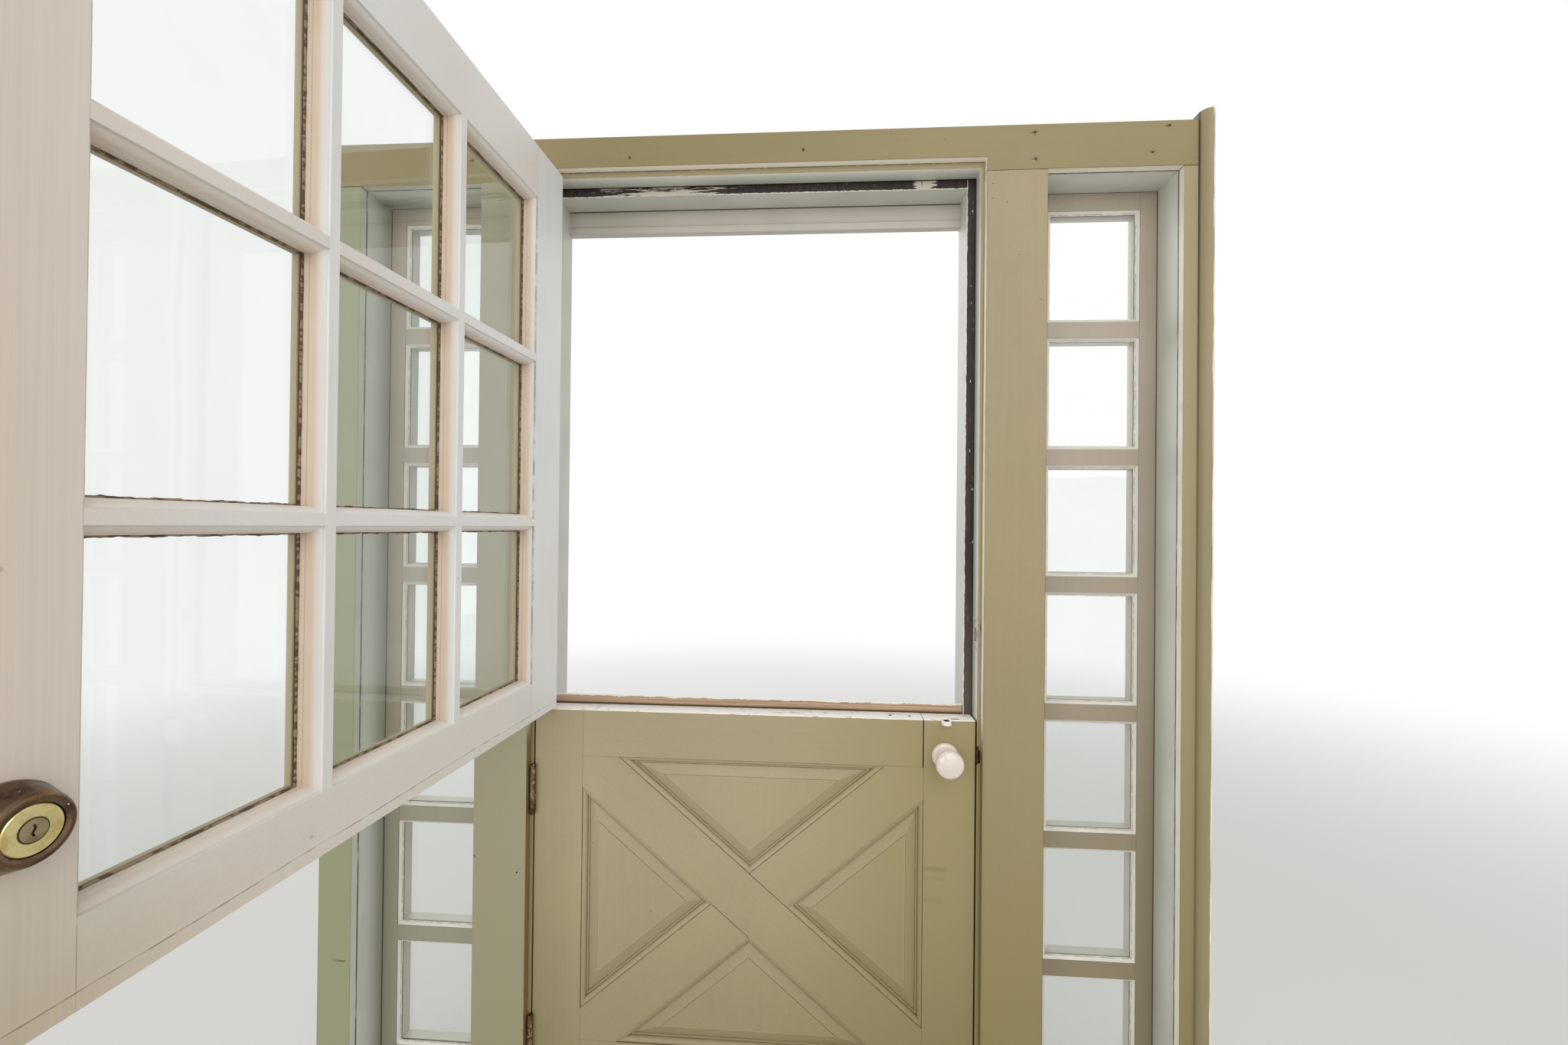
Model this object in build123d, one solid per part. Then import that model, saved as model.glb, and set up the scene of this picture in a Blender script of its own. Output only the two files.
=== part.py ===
"""Stable door in two leaves, in its timber frame with a glazed sidelight on each side.

Millimetres. X runs to the right as seen from the room, +Y points outdoors, +Z is up.
The origin is on the floor under the sill, at the middle of the doorway, in the plane
of the leaves' room faces when they are closed. The top leaf stands open, the lower one
is closed.
"""
from build123d import *
from math import asin, cos, hypot, pi, radians, sin, sqrt, tan
import os

# Leaf pair
leaf_width = 914.4
leaf_thickness = 44.45
lower_leaf_height = 911.0
top_leaf_height = 1113.0
gap_between_leaves = 8.0
side_gap = 3.0
head_gap = 3.0
floor_gap = 5.0
top_leaf_open = 91.6
tenon_thickness = 12.7
tenon_length = 36.0
tenon_shoulder = 14.0

# Glazed top leaf
top_stile = 104.5
top_rail_upper = 98.0
top_rail_lower = 73.0
bar_face = 13.8
panes_across = 3
panes_up = 3
glass = 3.0
glass_play = 1.0
bar_lap = 8.1
bar_rebate = 18.45
bar_reveal = 8.0
bar_fillet = 3.5
bar_quirk = 1.0
bead_proud = 1.4
bead_recess = 1.5

# Crossbuck lower leaf
low_stile = 103.0
low_rail_upper = 97.0
low_rail_lower = 219.5
brace_width = 100.0
brace_crack = 0.8
stick_width = 12.0
stick_depth = 10.5
stick_quirk = 1.5
stick_fillet = 2.8
panel_edge_depth = 12.7
panel_groove = 9.5
panel_play = 1.0
panel_margin = 3.0
panel_bevel = 20.0
panel_field_depth = 4.0
panel_field_step = 1.2

# Weather lip on the outside of the lower leaf
lip_above = 20.6
lip_below = 24.0
lip_thickness = 15.0
lip_end_gap = 2.0
lip_clearance = 0.8
lip_slope = 3.0

# Rounded arrises, and the joint that has shrunk open
frame_arris = 1.6
leaf_arris = 1.4
rail_shrinkage = 1.6

# Frame
sill_height = 38.0
sill_nose = 26.0
sill_nose_round = 6.0
threshold_depth = 22.0
threshold_round = 8.0
sill_slope = 7.0
drip_groove = 5.0
frame_depth = 124.0
jamb = 19.0
head_beam = 38.0
stop_projection = 18.0
stop_clearance = 0.55
outer_board_thickness = 19.0
outer_board_drop = 52.0
outer_board_strip = 16.0
outer_board_strip_proud = 3.0
right_post_casing = 119.0
left_post_casing = 113.0
sidelight_width = 260.7
left_sidelight_width = 266.5
side_setback = 6.8
head_setback = 10.0
casing = 19.0
sidelight_head = 36.0
head_casing_height = 90.0
right_end_casing = 26.3
left_end_casing = 72.0
corner_mould_width = 22.0
corner_mould_depth = 36.0
corner_mould_rise = 12.0

# Sidelight sashes
sash_thickness = 35.0
sash_stop_depth = 11.0
sash_stile = 35.0
sash_rail_upper = 37.0
sash_rail_lower = 100.0
sash_bar = 34.0
sash_panes = 7
sash_lap = 8.0
sash_rebate = 11.0
sash_bead = 5.5
sash_bead_face = 4.4
sash_bead_edge = 2.0
sash_seat = 19.0
sash_stop = 12.0

# Butt hinges
hinge_height = 101.6
hinge_knuckles = 5
knuckle_radius = 6.0
knuckle_gap = 0.4
pin_radius = 3.95
pin_clearance = 0.05
pin_forward = 6.5
pin_tip = 3.0
pin_tip_edge = 1.8
pin_tip_base = 5.4
pin_tip_crown = 4.5
plate_thickness = 2.2
plate_reach = 31.5
plate_start = 0.0
lower_hinge_centres = (218.0, 743.0)
top_hinge_centres = (168.0, 884.0)

# Locks
backset = 60.3
deadbolt_above_foot = 164.0
deadbolt_throw = 25.4
deadbolt_bolt_height = 22.0
deadbolt_bolt_width = 15.0
deadbolt_case_radius = 14.5
deadbolt_bore_radius = 24.0
collar_outline = ((32.0, 0.0), (32.0, 4.0), (30.5, 8.0), (25.5, 24.0), (24.3, 26.2), (22.9, 27.0), (21.0, 27.0))
collar_projection = 27.0
ring_radius = 18.0
ring_recess = 1.2
ring_chamfer = 1.0
plug_radius = 8.0
plug_clearance = 0.08
plug_proud = 0.4
keyway_height = 8.5
keyway_width = 1.7
keyway_depth = 4.0
turn_rose_radius = 30.0
turn_rose_thickness = 9.0
turn_rose_edge = 3.0
turn_rose_bevel = 4.0
turn_length = 34.0
turn_width = 11.0
turn_projection = 22.0
turn_shank_lap = 4.0
turn_corner = 4.95
turn_chamfer = 1.5
latch_below_top = 72.0
latch_throw = 11.5
latch_bolt_height = 17.0
latch_bolt_width = 11.0
latch_nose_flat = 2.0
latch_nose_land = 1.0
latch_case_radius = 11.5
latch_bore_radius = 12.0
case_length = 52.0
bolt_play = 0.3
faceplate_height = 57.0
faceplate_width = 25.4
faceplate_thickness = 2.5
faceplate_corner = 4.0
strike_width = 28.0
strike_thickness = 2.0
strike_corner = 3.0
deadbolt_strike_height = 70.0
latch_strike_height = 57.0
strike_hole_play = 3.0
strike_pocket_play = 4.0
strike_lip = 6.0
strike_lip_height = 26.0

# Knobs of the lower leaf
knob_front = 61.0
knob_neck_radius = 10.5
knob_neck = 12.0
knob_hollow = ((13.0, 30.5), (22.0, 37.6))
knob_shoulder = ((26.4, 42.0), (27.5, 49.0))
knob_rim = ((25.9, 53.4), (21.0, 56.8))
rose_outline = ((26.5, 0.0), (26.5, 2.5), (24.5, 5.8), (20.5, 7.0))
rose_thickness = 7.0
rose_hole_play = 0.4
spindle = 8.0
running_gap = 0.3

# Bolt that links the two leaves
link_offset = 1.1
link_rod_radius = 4.7
link_rod_clearance = 0.08
link_rod_forward = 6.5
link_rod_length = 104.0
link_throw = 20.0
link_tip_above = 4.0
link_plate_width = 32.0
link_plate_height = 112.0
link_plate = 1.5
link_guide_height = 14.0
link_guide_from_end = 8.0
link_plate_edge = 2.0
link_guide_wall = 2.4
link_rod_chamfer = 1.2
link_knob_radius = 5.5
link_knob_length = 14.0
link_knob_thickness = 7.0
link_knob_edge = 1.6
link_stem_radius = 2.5
keeper_outer_radius = 10.0
keeper_inner_radius = 6.0
keeper_height = 8.0
keeper_proud = 1.0
keeper_edge = 1.0

# How far a cut runs past the face it opens on
over = 1.0

# Places worked out from the sizes above
half_width = leaf_width / 2
half_door = half_width + side_gap
low_bottom = sill_height + floor_gap
low_top = low_bottom + lower_leaf_height
top_bottom = low_top + gap_between_leaves
top_top = top_bottom + top_leaf_height
door_head = top_top + head_gap
frame_top = door_head + jamb
sidelight_top = frame_top - sidelight_head
deadbolt_height = top_bottom + deadbolt_above_foot
latch_height = low_top - latch_below_top
pin_x = -half_width - side_gap / 2
pin_y = -pin_forward
lock_x = half_width - backset
middle_y = leaf_thickness / 2
stop_face = leaf_thickness + stop_clearance
head_stop_end = frame_depth - outer_board_thickness
sash_recess = frame_depth - sash_stop_depth - sash_thickness
post_edge = {1: half_door + side_setback + right_post_casing,
             -1: half_door + side_setback + left_post_casing}
light_edge = {1: post_edge[1] + sidelight_width, -1: post_edge[-1] + left_sidelight_width}
seat_top = sill_height + sash_seat
spindle_hole = spindle / sqrt(2) + rose_hole_play
link_x = lock_x + link_offset
link_y = -link_rod_forward
swing = Axis((pin_x, pin_y, 0), (0, 0, 1))
LEFT, RIGHT = -1, 1
PARTS = "parts"


def block(x0, x1, y0, y1, z0, z1):
    """A box between two corners, given in any order."""
    low = Vector(min(x0, x1), min(y0, y1), min(z0, z1))
    size = Vector(abs(x1 - x0), abs(y1 - y0), abs(z1 - z0))
    return Pos(low) * Box(size.X, size.Y, size.Z, align=(Align.MIN, Align.MIN, Align.MIN))


def rod(start, end, radius):
    """A round bar between two points."""
    way = Vector(end) - Vector(start)
    return Solid.make_cylinder(radius, way.length, Plane(origin=start, z_dir=way))


def slab(points, y0, y1):
    """A flat shape given as (x, z) points, carried from depth y0 to depth y1."""
    face = Face(Wire.make_polygon([(x, y0, z) for x, z in points]))
    return Solid.extrude(face, Vector(0, y1 - y0, 0))


def along(section, start, across, length):
    """Carries a section, drawn as (across, depth), along the leaf at right angles to across."""
    side = Vector(*across)
    way = Vector(0, 1, 0).cross(side) * -1
    return extrude(Plane(origin=start, x_dir=side, z_dir=way) * section, length)


def turned(radius_and_height, base, way):
    """A turned piece: straight lines through (radius, height) pairs, spun about an axis."""
    outline = [(radius, 0, height) for radius, height in radius_and_height]
    face = Face(Wire.make_polygon(outline))
    return Plane(origin=base, z_dir=way) * Solid.revolve(face, 360, Axis.Z)


def inset(points, distance):
    """Moves each side of a clockwise polygon inwards and joins the corners again."""
    lines = []
    for (x0, z0), (x1, z1) in zip(points, points[1:] + points[:1]):
        size = hypot(x1 - x0, z1 - z0)
        ux, uz = (x1 - x0) / size, (z1 - z0) / size
        lines.append((x0 + uz * distance, z0 - ux * distance, ux, uz))
    corners = []
    for (x0, z0, ax, az), (x1, z1, bx, bz) in zip(lines[-1:] + lines[:-1], lines):
        share = ((x1 - x0) * bz - (z1 - z0) * bx) / (ax * bz - az * bx)
        corners.append((x0 + ax * share, z0 + az * share))
    return corners


def write(name, *pieces):
    """Writes the solids of one named piece to its own file."""
    solids = [solid for piece in pieces for solid in piece.solids()]
    export_step(solids[0] if len(solids) == 1 else Compound(children=solids), f"{PARTS}/{name}.step")


def eased(piece, way, radius, *points):
    """Rounds the edges of a piece that run along an axis and lie nearest to the points."""
    edges = piece.edges().filter_by(way)
    return fillet([edges.sort_by_distance(point)[0] for point in points], radius)


def opened(piece):
    """Swings a piece of the top leaf from its closed place to where it stands open."""
    return piece.rotate(swing, -top_leaf_open)


# Frame
def make_sill():
    """Sill with a rounded threshold, a weathered slope outdoors and a drip groove under its nose."""
    end_x = {side: light_edge[side] + jamb for side in (LEFT, RIGHT)}
    nose = frame_depth + sill_nose
    fall = (nose - stop_face) * tan(radians(sill_slope))
    outline = [(0, 0), (0, sill_height), (stop_face, sill_height), (nose, sill_height - fall), (nose, 0)]
    face = Face(Wire.make_polygon([(-end_x[LEFT], y, z) for y, z in outline]))
    sill = Solid.extrude(face, Vector(end_x[LEFT] + end_x[RIGHT], 0, 0))
    groove_y = nose - 2 * drip_groove
    sill -= rod((-end_x[LEFT], groove_y, 0), (end_x[RIGHT], groove_y, 0), drip_groove)
    reach = half_door + side_setback
    threshold = block(-reach, reach, -threshold_depth, 0, 0, sill_height)
    sill = eased(sill, Axis.X, sill_nose_round, (0, nose, sill_height - fall))
    return sill + eased(threshold, Axis.X, threshold_round, (0, -threshold_depth, sill_height))


def sill_top(y):
    """Height of the sill's upper face at a depth."""
    return sill_height - max(0, y - stop_face) * tan(radians(sill_slope))


def on_sill(x0, x1, y0, y1, z1):
    """An upright board whose foot is cut to the sill's slope."""
    outline = [(y0, z1), (y1, z1), (y1, sill_top(y1))]
    if y0 < stop_face < y1:
        outline.append((stop_face, sill_height))
    outline.append((y0, sill_top(y0)))
    face = Face(Wire.make_polygon([(min(x0, x1), y, z) for y, z in outline]))
    return Solid.extrude(face, Vector(abs(x1 - x0), 0, 0))


def bolt_pocket(height, bolt_height, bolt_width, throw):
    """Room in the jamb and post for a bolt that is shot."""
    play = strike_pocket_play
    return block(half_door, half_door + throw + play, middle_y - bolt_width / 2 - play,
                 middle_y + bolt_width / 2 + play, height - bolt_height / 2 - play, height + bolt_height / 2 + play)


def both_pockets():
    """The pockets of the deadbolt and of the latch."""
    return (bolt_pocket(deadbolt_height, deadbolt_bolt_height, deadbolt_bolt_width, deadbolt_throw)
            + bolt_pocket(latch_height, latch_bolt_height, latch_bolt_width, latch_throw))


def strike_plate(height, tall, bolt_height, bolt_width):
    """Flat plate let into the jamb, with the hole that the bolt goes through."""
    plate = block(half_door, half_door + strike_thickness, middle_y - strike_width / 2,
                  middle_y + strike_width / 2, height - tall / 2, height + tall / 2)
    plate = fillet(plate.edges().filter_by(Axis.X), strike_corner)
    play = strike_hole_play
    hole = block(half_door - over, half_door + 2 * strike_thickness, middle_y - bolt_width / 2 - play,
                 middle_y + bolt_width / 2 + play, height - bolt_height / 2 - play, height + bolt_height / 2 + play)
    return plate - hole


def strike_tongue():
    """Curved tongue of the latch strike, which bends round the jamb's room side."""
    front = middle_y - strike_width / 2
    bend = strike_lip
    centre = (half_door + bend, front - bend / 2)
    outer = Polyline((half_door, front), (half_door, centre[1]))
    outer += RadiusArc((half_door, centre[1]), (centre[0], centre[1] - bend), bend)
    outer += Line((centre[0], centre[1] - bend), (centre[0], centre[1] - bend + strike_thickness))
    inner = bend - strike_thickness
    outer += RadiusArc((centre[0], centre[1] - inner), (half_door + strike_thickness, centre[1]), -inner)
    outer += Polyline((half_door + strike_thickness, centre[1]), (half_door + strike_thickness, front),
                      (half_door, front))
    tongue = extrude(make_face(outer), strike_lip_height)
    return Pos(0, 0, latch_height - strike_lip_height / 2) * tongue


def hinge_plate_room(side_x, centres):
    """Shallow mortises for the hinge plates in an upright edge; side_x is its two x values."""
    return [block(side_x[0], side_x[1], plate_start, plate_reach, z - hinge_height / 2, z + hinge_height / 2)
            for z in centres]


def door_jamb(side):
    """Side jamb of the doorway."""
    board = on_sill(side * half_door, side * (half_door + jamb), 0, frame_depth, frame_top)
    board = eased(board, Axis.Z, frame_arris, (side * half_door, 0, latch_height))
    if side == LEFT:
        for room in hinge_plate_room((-half_door, -half_door - plate_thickness), hinge_heights()):
            board -= room
        return board
    deadbolt = (deadbolt_height, deadbolt_strike_height)
    latch = (latch_height, latch_strike_height)
    for height, tall in (deadbolt, latch):
        plate = block(half_door, half_door + strike_thickness, middle_y - strike_width / 2,
                      middle_y + strike_width / 2, height - tall / 2, height + tall / 2)
        board -= fillet(plate.edges().filter_by(Axis.X), strike_corner)
    notch = block(half_door - over, half_door + strike_lip + running_gap, -over, middle_y - strike_width / 2,
                  latch_height - strike_lip_height / 2, latch_height + strike_lip_height / 2)
    return board - notch - both_pockets()


def mullion_post(side):
    """Solid post between the doorway and a sidelight."""
    inner = half_door + jamb
    outer = post_edge[side] - jamb
    return on_sill(side * inner, side * outer, 0, frame_depth, frame_top) - both_pockets()


def sidelight_jambs(side):
    """The two side boards of a sidelight's opening."""
    pairs = ((post_edge[side] - jamb, post_edge[side]), (light_edge[side], light_edge[side] + jamb))
    return [on_sill(side * a, side * b, 0, frame_depth, frame_top) for a, b in pairs]


def frame_head():
    """Head beam over the doorway and both sidelights."""
    return block(-light_edge[LEFT] - jamb, light_edge[RIGHT] + jamb, 0, frame_depth, frame_top, frame_top + head_beam)


def side_stop(side):
    """Stop that the leaves close against at one side."""
    board = on_sill(side * (half_door - stop_projection), side * half_door, stop_face, frame_depth, door_head)
    edge = side * (half_door - stop_projection)
    return eased(board, Axis.Z, frame_arris, (edge, stop_face, latch_height), (edge, frame_depth, latch_height))


def head_stop():
    """Stop at the head, between the side stops."""
    reach = half_door - stop_projection
    board = block(-reach, reach, stop_face, head_stop_end, door_head - stop_projection, door_head)
    return eased(board, Axis.X, frame_arris, (0, stop_face, door_head - stop_projection))


def head_jamb():
    """Board over the doorway, between the side jambs."""
    board = block(-half_door, half_door, 0, frame_depth, door_head, frame_top)
    return eased(board, Axis.X, frame_arris, (0, 0, door_head))


def outer_head_board():
    """Deeper board outdoors of the head stop, with a thin strip along its foot."""
    reach = half_door - stop_projection
    foot = door_head - stop_projection - outer_board_drop
    board = block(-reach, reach, head_stop_end + outer_board_strip_proud, frame_depth, foot, door_head)
    return board + block(-reach, reach, head_stop_end, frame_depth, foot, foot + outer_board_strip)


def post_casing(side):
    """Flat casing over a mullion post, up to the head casing."""
    inner = side * (half_door + side_setback)
    outer = side * post_edge[side]
    board = block(inner, outer, -casing, 0, 0, sidelight_top)
    return eased(board, Axis.Z, frame_arris, (inner, -casing, latch_height), (outer, -casing, latch_height))


def head_casing():
    """Head casing over the whole frame, notched up over the doorway."""
    top = sidelight_top + head_casing_height
    board = block(-light_edge[LEFT] - left_end_casing, light_edge[RIGHT] + right_end_casing,
                  -casing, 0, sidelight_top, top)
    reach = half_door + side_setback
    notch_top = door_head + head_setback
    board -= block(-reach, reach, -casing - over, over, sidelight_top - over, notch_top)
    board = eased(board, Axis.X, frame_arris, (0, -casing, notch_top), (0, -casing, top))
    for side in (LEFT, RIGHT):
        board -= lower_arris(side * post_edge[side], side * light_edge[side], sidelight_top)
    return board


def lower_arris(x0, x1, z):
    """What comes off to round a stretch of a board's lower front edge."""
    low, high = min(x0, x1), max(x0, x1)
    y, height = frame_arris - casing, z + frame_arris
    return block(low, high, -casing, y, z, height) - rod((low, y, height), (high, y, height), frame_arris)


def end_casing(side):
    """Casing at the outer side of a sidelight."""
    width = right_end_casing if side == RIGHT else left_end_casing
    board = block(side * light_edge[side], side * (light_edge[side] + width), -casing, 0, 0, sidelight_top)
    return eased(board, Axis.Z, frame_arris, (side * light_edge[side], -casing, latch_height))


def corner_mould():
    """Quarter-round moulding that fills the room's corner beside the right-hand casing."""
    x0 = light_edge[RIGHT] + right_end_casing
    x1 = x0 + corner_mould_width
    shape = Polyline((x1, -corner_mould_depth), (x1, 0), (x0, 0), (x0, -casing))
    deep = corner_mould_depth - casing
    middle = (x1 - corner_mould_width * cos(pi / 4), -casing - deep * sin(pi / 4))
    shape += ThreePointArc((x0, -casing), middle, (x1, -corner_mould_depth))
    height = sidelight_top + head_casing_height + corner_mould_rise
    return extrude(make_face(shape), height)


# Sidelights
def sash_section(face_width):
    """Section of a sidelight sash member, as (across, depth), with the rebate on the room side."""
    back = sash_recess + sash_thickness
    seat = sash_recess + sash_rebate
    return make_face(Polyline((0, sash_recess), (face_width, sash_recess), (face_width, seat),
                              (face_width + sash_lap, seat), (face_width + sash_lap, back), (0, back), close=True))


def sash_sizes(side):
    """Left and right edges of a sash, as seen from the room."""
    return sorted((side * post_edge[side], side * light_edge[side]))


def sash_levels():
    """Heights of the lower and upper edge of the daylight of each pane."""
    bottom = seat_top + sash_rail_lower
    top = sidelight_top - sash_rail_upper
    pane = (top - bottom - (sash_panes - 1) * sash_bar) / sash_panes
    return [(bottom + n * (pane + sash_bar), bottom + n * (pane + sash_bar) + pane) for n in range(sash_panes)]


def sash_stiles(side):
    """The two uprights of a sidelight sash."""
    x0, x1 = sash_sizes(side)
    tall = sidelight_top - seat_top
    section = sash_section(sash_stile)
    return [along(section, (x0, 0, seat_top), (1, 0, 0), tall),
            along(section, (x1, 0, sidelight_top), (-1, 0, 0), tall)]


def sash_rails(side, stiles):
    """Bottom and top rail of a sidelight sash, scribed to the uprights."""
    x0, x1 = sash_sizes(side)
    rails = [along(sash_section(sash_rail_lower), (x1, 0, seat_top), (0, 0, 1), x1 - x0),
             along(sash_section(sash_rail_upper), (x0, 0, sidelight_top), (0, 0, -1), x1 - x0)]
    return [rail - stiles[0] - stiles[1] for rail in rails]


def sash_bars(side, stiles):
    """The cross bars of a sidelight sash."""
    x0, x1 = sash_sizes(side)
    levels = sash_levels()
    bars = []
    half = sash_section(sash_bar / 2)
    for (low, high), (next_low, next_high) in zip(levels, levels[1:]):
        middle = (high + next_low) / 2
        bar = (along(half, (x1, 0, middle), (0, 0, 1), x1 - x0)
               + along(half, (x0, 0, middle), (0, 0, -1), x1 - x0))
        bars.append(bar - stiles[0] - stiles[1])
    return bars


def sash_stops(side):
    """Square strips outdoors of a sash that hold it in its opening."""
    x0, x1 = sash_sizes(side)
    y0 = sash_recess + sash_thickness
    uprights = [block(x0, x0 + sash_stop, y0, frame_depth, seat_top, sidelight_top),
                block(x1 - sash_stop, x1, y0, frame_depth, seat_top, sidelight_top)]
    return uprights + [block(x0 + sash_stop, x1 - sash_stop, y0, frame_depth, z, z + sash_stop)
                       for z in (seat_top, sidelight_top - sash_stop)]


def sash_glass(side):
    """The panes of a sidelight."""
    x0, x1 = sash_sizes(side)
    y1 = sash_recess + sash_rebate
    return [block(x0 + sash_stile + glass_play, x1 - sash_stile - glass_play, y1 - glass, y1,
                  low + glass_play, high - glass_play) for low, high in sash_levels()]


def sash_beads(side):
    """Thin glazing beads round each pane of a sidelight, mitred at their corners."""
    x0, x1 = sash_sizes(side)
    left, right = x0 + sash_stile, x1 - sash_stile
    front = sash_recess + bead_recess
    back = sash_recess + sash_rebate - glass
    section = make_face(Polyline((0, front), (0, back), (sash_bead, back), (sash_bead_face, back - sash_bead_edge),
                                 close=True))
    return [bead for low, high in sash_levels()
            for bead in bead_frame(section, left, right, low, high, sash_bead, front, back)]


def bead_frame(section, left, right, low, high, width, front, back):
    """Four strips of one section round a rectangle, cut to mitres."""
    corners = [(left, high), (right, high), (right, low), (left, low)]
    inner = inset(corners, width + over)
    ways = ((0, 0, -1), (-1, 0, 0), (0, 0, 1), (1, 0, 0))
    strips = []
    for n, way in enumerate(ways):
        (ax, az), (bx, bz) = corners[n], corners[(n + 1) % 4]
        strip = along(section, (ax, 0, az), way, hypot(bx - ax, bz - az))
        mitre = slab([corners[n], corners[(n + 1) % 4], inner[(n + 1) % 4], inner[n]], front - over, back + over)
        strips.append(strip & mitre)
    return strips


# Glazed top leaf, drawn closed
def bar_section(face_width):
    """Section of a glazed member, as (across, depth): ovolo outdoors, rebate on the room side."""
    glass_edge = face_width + bar_lap
    start = bar_rebate + bar_reveal
    end = leaf_thickness - bar_fillet
    quirk = face_width + bar_quirk
    bulge = ((glass_edge - quirk) * sin(pi / 4), (end - start) * sin(pi / 4))
    outline = Polyline((glass_edge, start), (glass_edge, bar_rebate), (face_width, bar_rebate), (face_width, 0),
                       (0, 0), (0, leaf_thickness), (face_width, leaf_thickness), (face_width, end), (quirk, end))
    outline += ThreePointArc((quirk, end), (quirk + bulge[0], start + bulge[1]), (glass_edge, start))
    return make_face(outline)


def top_columns():
    """Left and right edges of the daylight of each column of panes, between bar faces."""
    start = -half_width + top_stile
    wide = (leaf_width - 2 * top_stile - (panes_across - 1) * bar_face) / panes_across
    return [(start + n * (wide + bar_face), start + n * (wide + bar_face) + wide) for n in range(panes_across)]


def top_rows():
    """Lower and upper edges of the daylight of each row of panes, between bar faces."""
    start = top_bottom + top_rail_lower
    tall = (top_leaf_height - top_rail_lower - top_rail_upper - (panes_up - 1) * bar_face) / panes_up
    return [(start + n * (tall + bar_face), start + n * (tall + bar_face) + tall) for n in range(panes_up)]


def tenons(x_edge, low, high):
    """Tenons at both ends of a rail between stiles whose inner edges are at -x_edge and x_edge."""
    y0 = middle_y - tenon_thickness / 2
    return [block(side * x_edge, side * (x_edge + tenon_length), y0, y0 + tenon_thickness,
                  low + tenon_shoulder, high - tenon_shoulder) for side in (LEFT, RIGHT)]


def top_stiles():
    """Hinge stile and lock stile of the top leaf, before their mortises."""
    section = bar_section(top_stile)
    return (along(section, (-half_width, 0, top_bottom), (1, 0, 0), top_leaf_height),
            along(section, (half_width, 0, top_top), (-1, 0, 0), top_leaf_height))


def top_rails(stiles):
    """Bottom and top rail of the top leaf, scribed over the stiles' moulding, with tenons."""
    rails = [along(bar_section(top_rail_lower), (half_width, 0, top_bottom), (0, 0, 1), leaf_width),
             along(bar_section(top_rail_upper), (-half_width, 0, top_top), (0, 0, -1), leaf_width)]
    edge = half_width - top_stile
    ends = [tenons(edge, top_bottom, top_bottom + top_rail_lower), tenons(edge, top_top - top_rail_upper, top_top)]
    return [rail - stiles[0] - stiles[1] + pair[0] + pair[1] for rail, pair in zip(rails, ends)], ends


def upright_bars(rails):
    """Glazing bars that run from rail to rail."""
    half = bar_section(bar_face / 2)
    bars = []
    for left, right in top_columns()[:-1]:
        middle = right + bar_face / 2
        bar = (along(half, (middle, 0, top_bottom), (1, 0, 0), top_leaf_height)
               + along(half, (middle, 0, top_top), (-1, 0, 0), top_leaf_height))
        low = top_bottom + top_rail_lower - tenon_shoulder
        high = top_top - top_rail_upper + tenon_shoulder
        bar &= block(-half_width, half_width, -over, leaf_thickness + over, low, high)
        bars.append(bar - rails[0] - rails[1])
    return [bar.solids().sort_by(SortBy.VOLUME)[-1] for bar in bars]


def cross_bars(uprights):
    """Short glazing bars, scribed between the upright bars and the stiles."""
    half = bar_section(bar_face / 2)
    bars = []
    rows = top_rows()
    for low, high in rows[:-1]:
        middle = high + bar_face / 2
        for left, right in top_columns():
            bar = (along(half, (right + bar_lap, 0, middle), (0, 0, 1), right - left + 2 * bar_lap)
                   + along(half, (left - bar_lap, 0, middle), (0, 0, -1), right - left + 2 * bar_lap))
            for upright in uprights:
                bar -= upright
            bars.append(bar.solids().sort_by(SortBy.VOLUME)[-1])
    return bars


def top_glass():
    """The panes of the top leaf."""
    return [block(left + glass_play, right - glass_play, bar_rebate - glass, bar_rebate,
                  low + glass_play, high - glass_play)
            for low, high in top_rows() for left, right in top_columns()]


def top_beads():
    """Glazing beads on the room side of each pane of the top leaf."""
    back = bar_rebate - glass
    width = bar_lap + bead_proud
    section = make_face(Polyline((0, bead_recess), (0, back), (width, back), (width, back / 2),
                                 (width / 2, bead_recess), close=True))
    return [bead for low, high in top_rows() for left, right in top_columns()
            for bead in bead_frame(section, left, right, low, high, width, bead_recess, back)]


# Crossbuck lower leaf
def opening():
    """Half width, half height and middle height of the panel opening of the lower leaf."""
    low = low_bottom + low_rail_lower
    high = low_top - low_rail_upper
    return half_width - low_stile, (high - low) / 2, (high + low) / 2


def raised(outlines, height):
    """The named outlines, lifted by a height."""
    return {name: [(x, z + height) for x, z in outline] for name, outline in outlines.items()}


def crossbuck():
    """Outlines of the long brace, the two short braces and the four triangles between them."""
    a, b, middle = opening()
    slant = hypot(a, b)
    dx = brace_width / 2 * slant / b
    dz = brace_width / 2 * slant / a
    crack = brace_crack
    shapes = {
        "long": [(-a, b), (-a + dx, b), (a, dz - b), (a, -b), (a - dx, -b), (-a, b - dz)],
        "upper": [(a, b), (a, b - dz), (dx + crack, crack * b / a), (crack * a / b, dz + crack), (a - dx, b)],
        "lower": [(-a, -b), (-a, dz - b), (-dx - crack, -crack * b / a), (-crack * a / b, -dz - crack), (dx - a, -b)],
    }
    triangles = {
        "top": [(dx - a, b), (a - dx, b), (0, dz)],
        "right": [(a, b - dz), (a, dz - b), (dx, 0)],
        "bottom": [(a - dx, -b), (dx - a, -b), (0, -dz)],
        "left": [(-a, dz - b), (-a, b - dz), (-dx, 0)],
    }
    return raised(shapes, middle), raised(triangles, middle)


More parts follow.
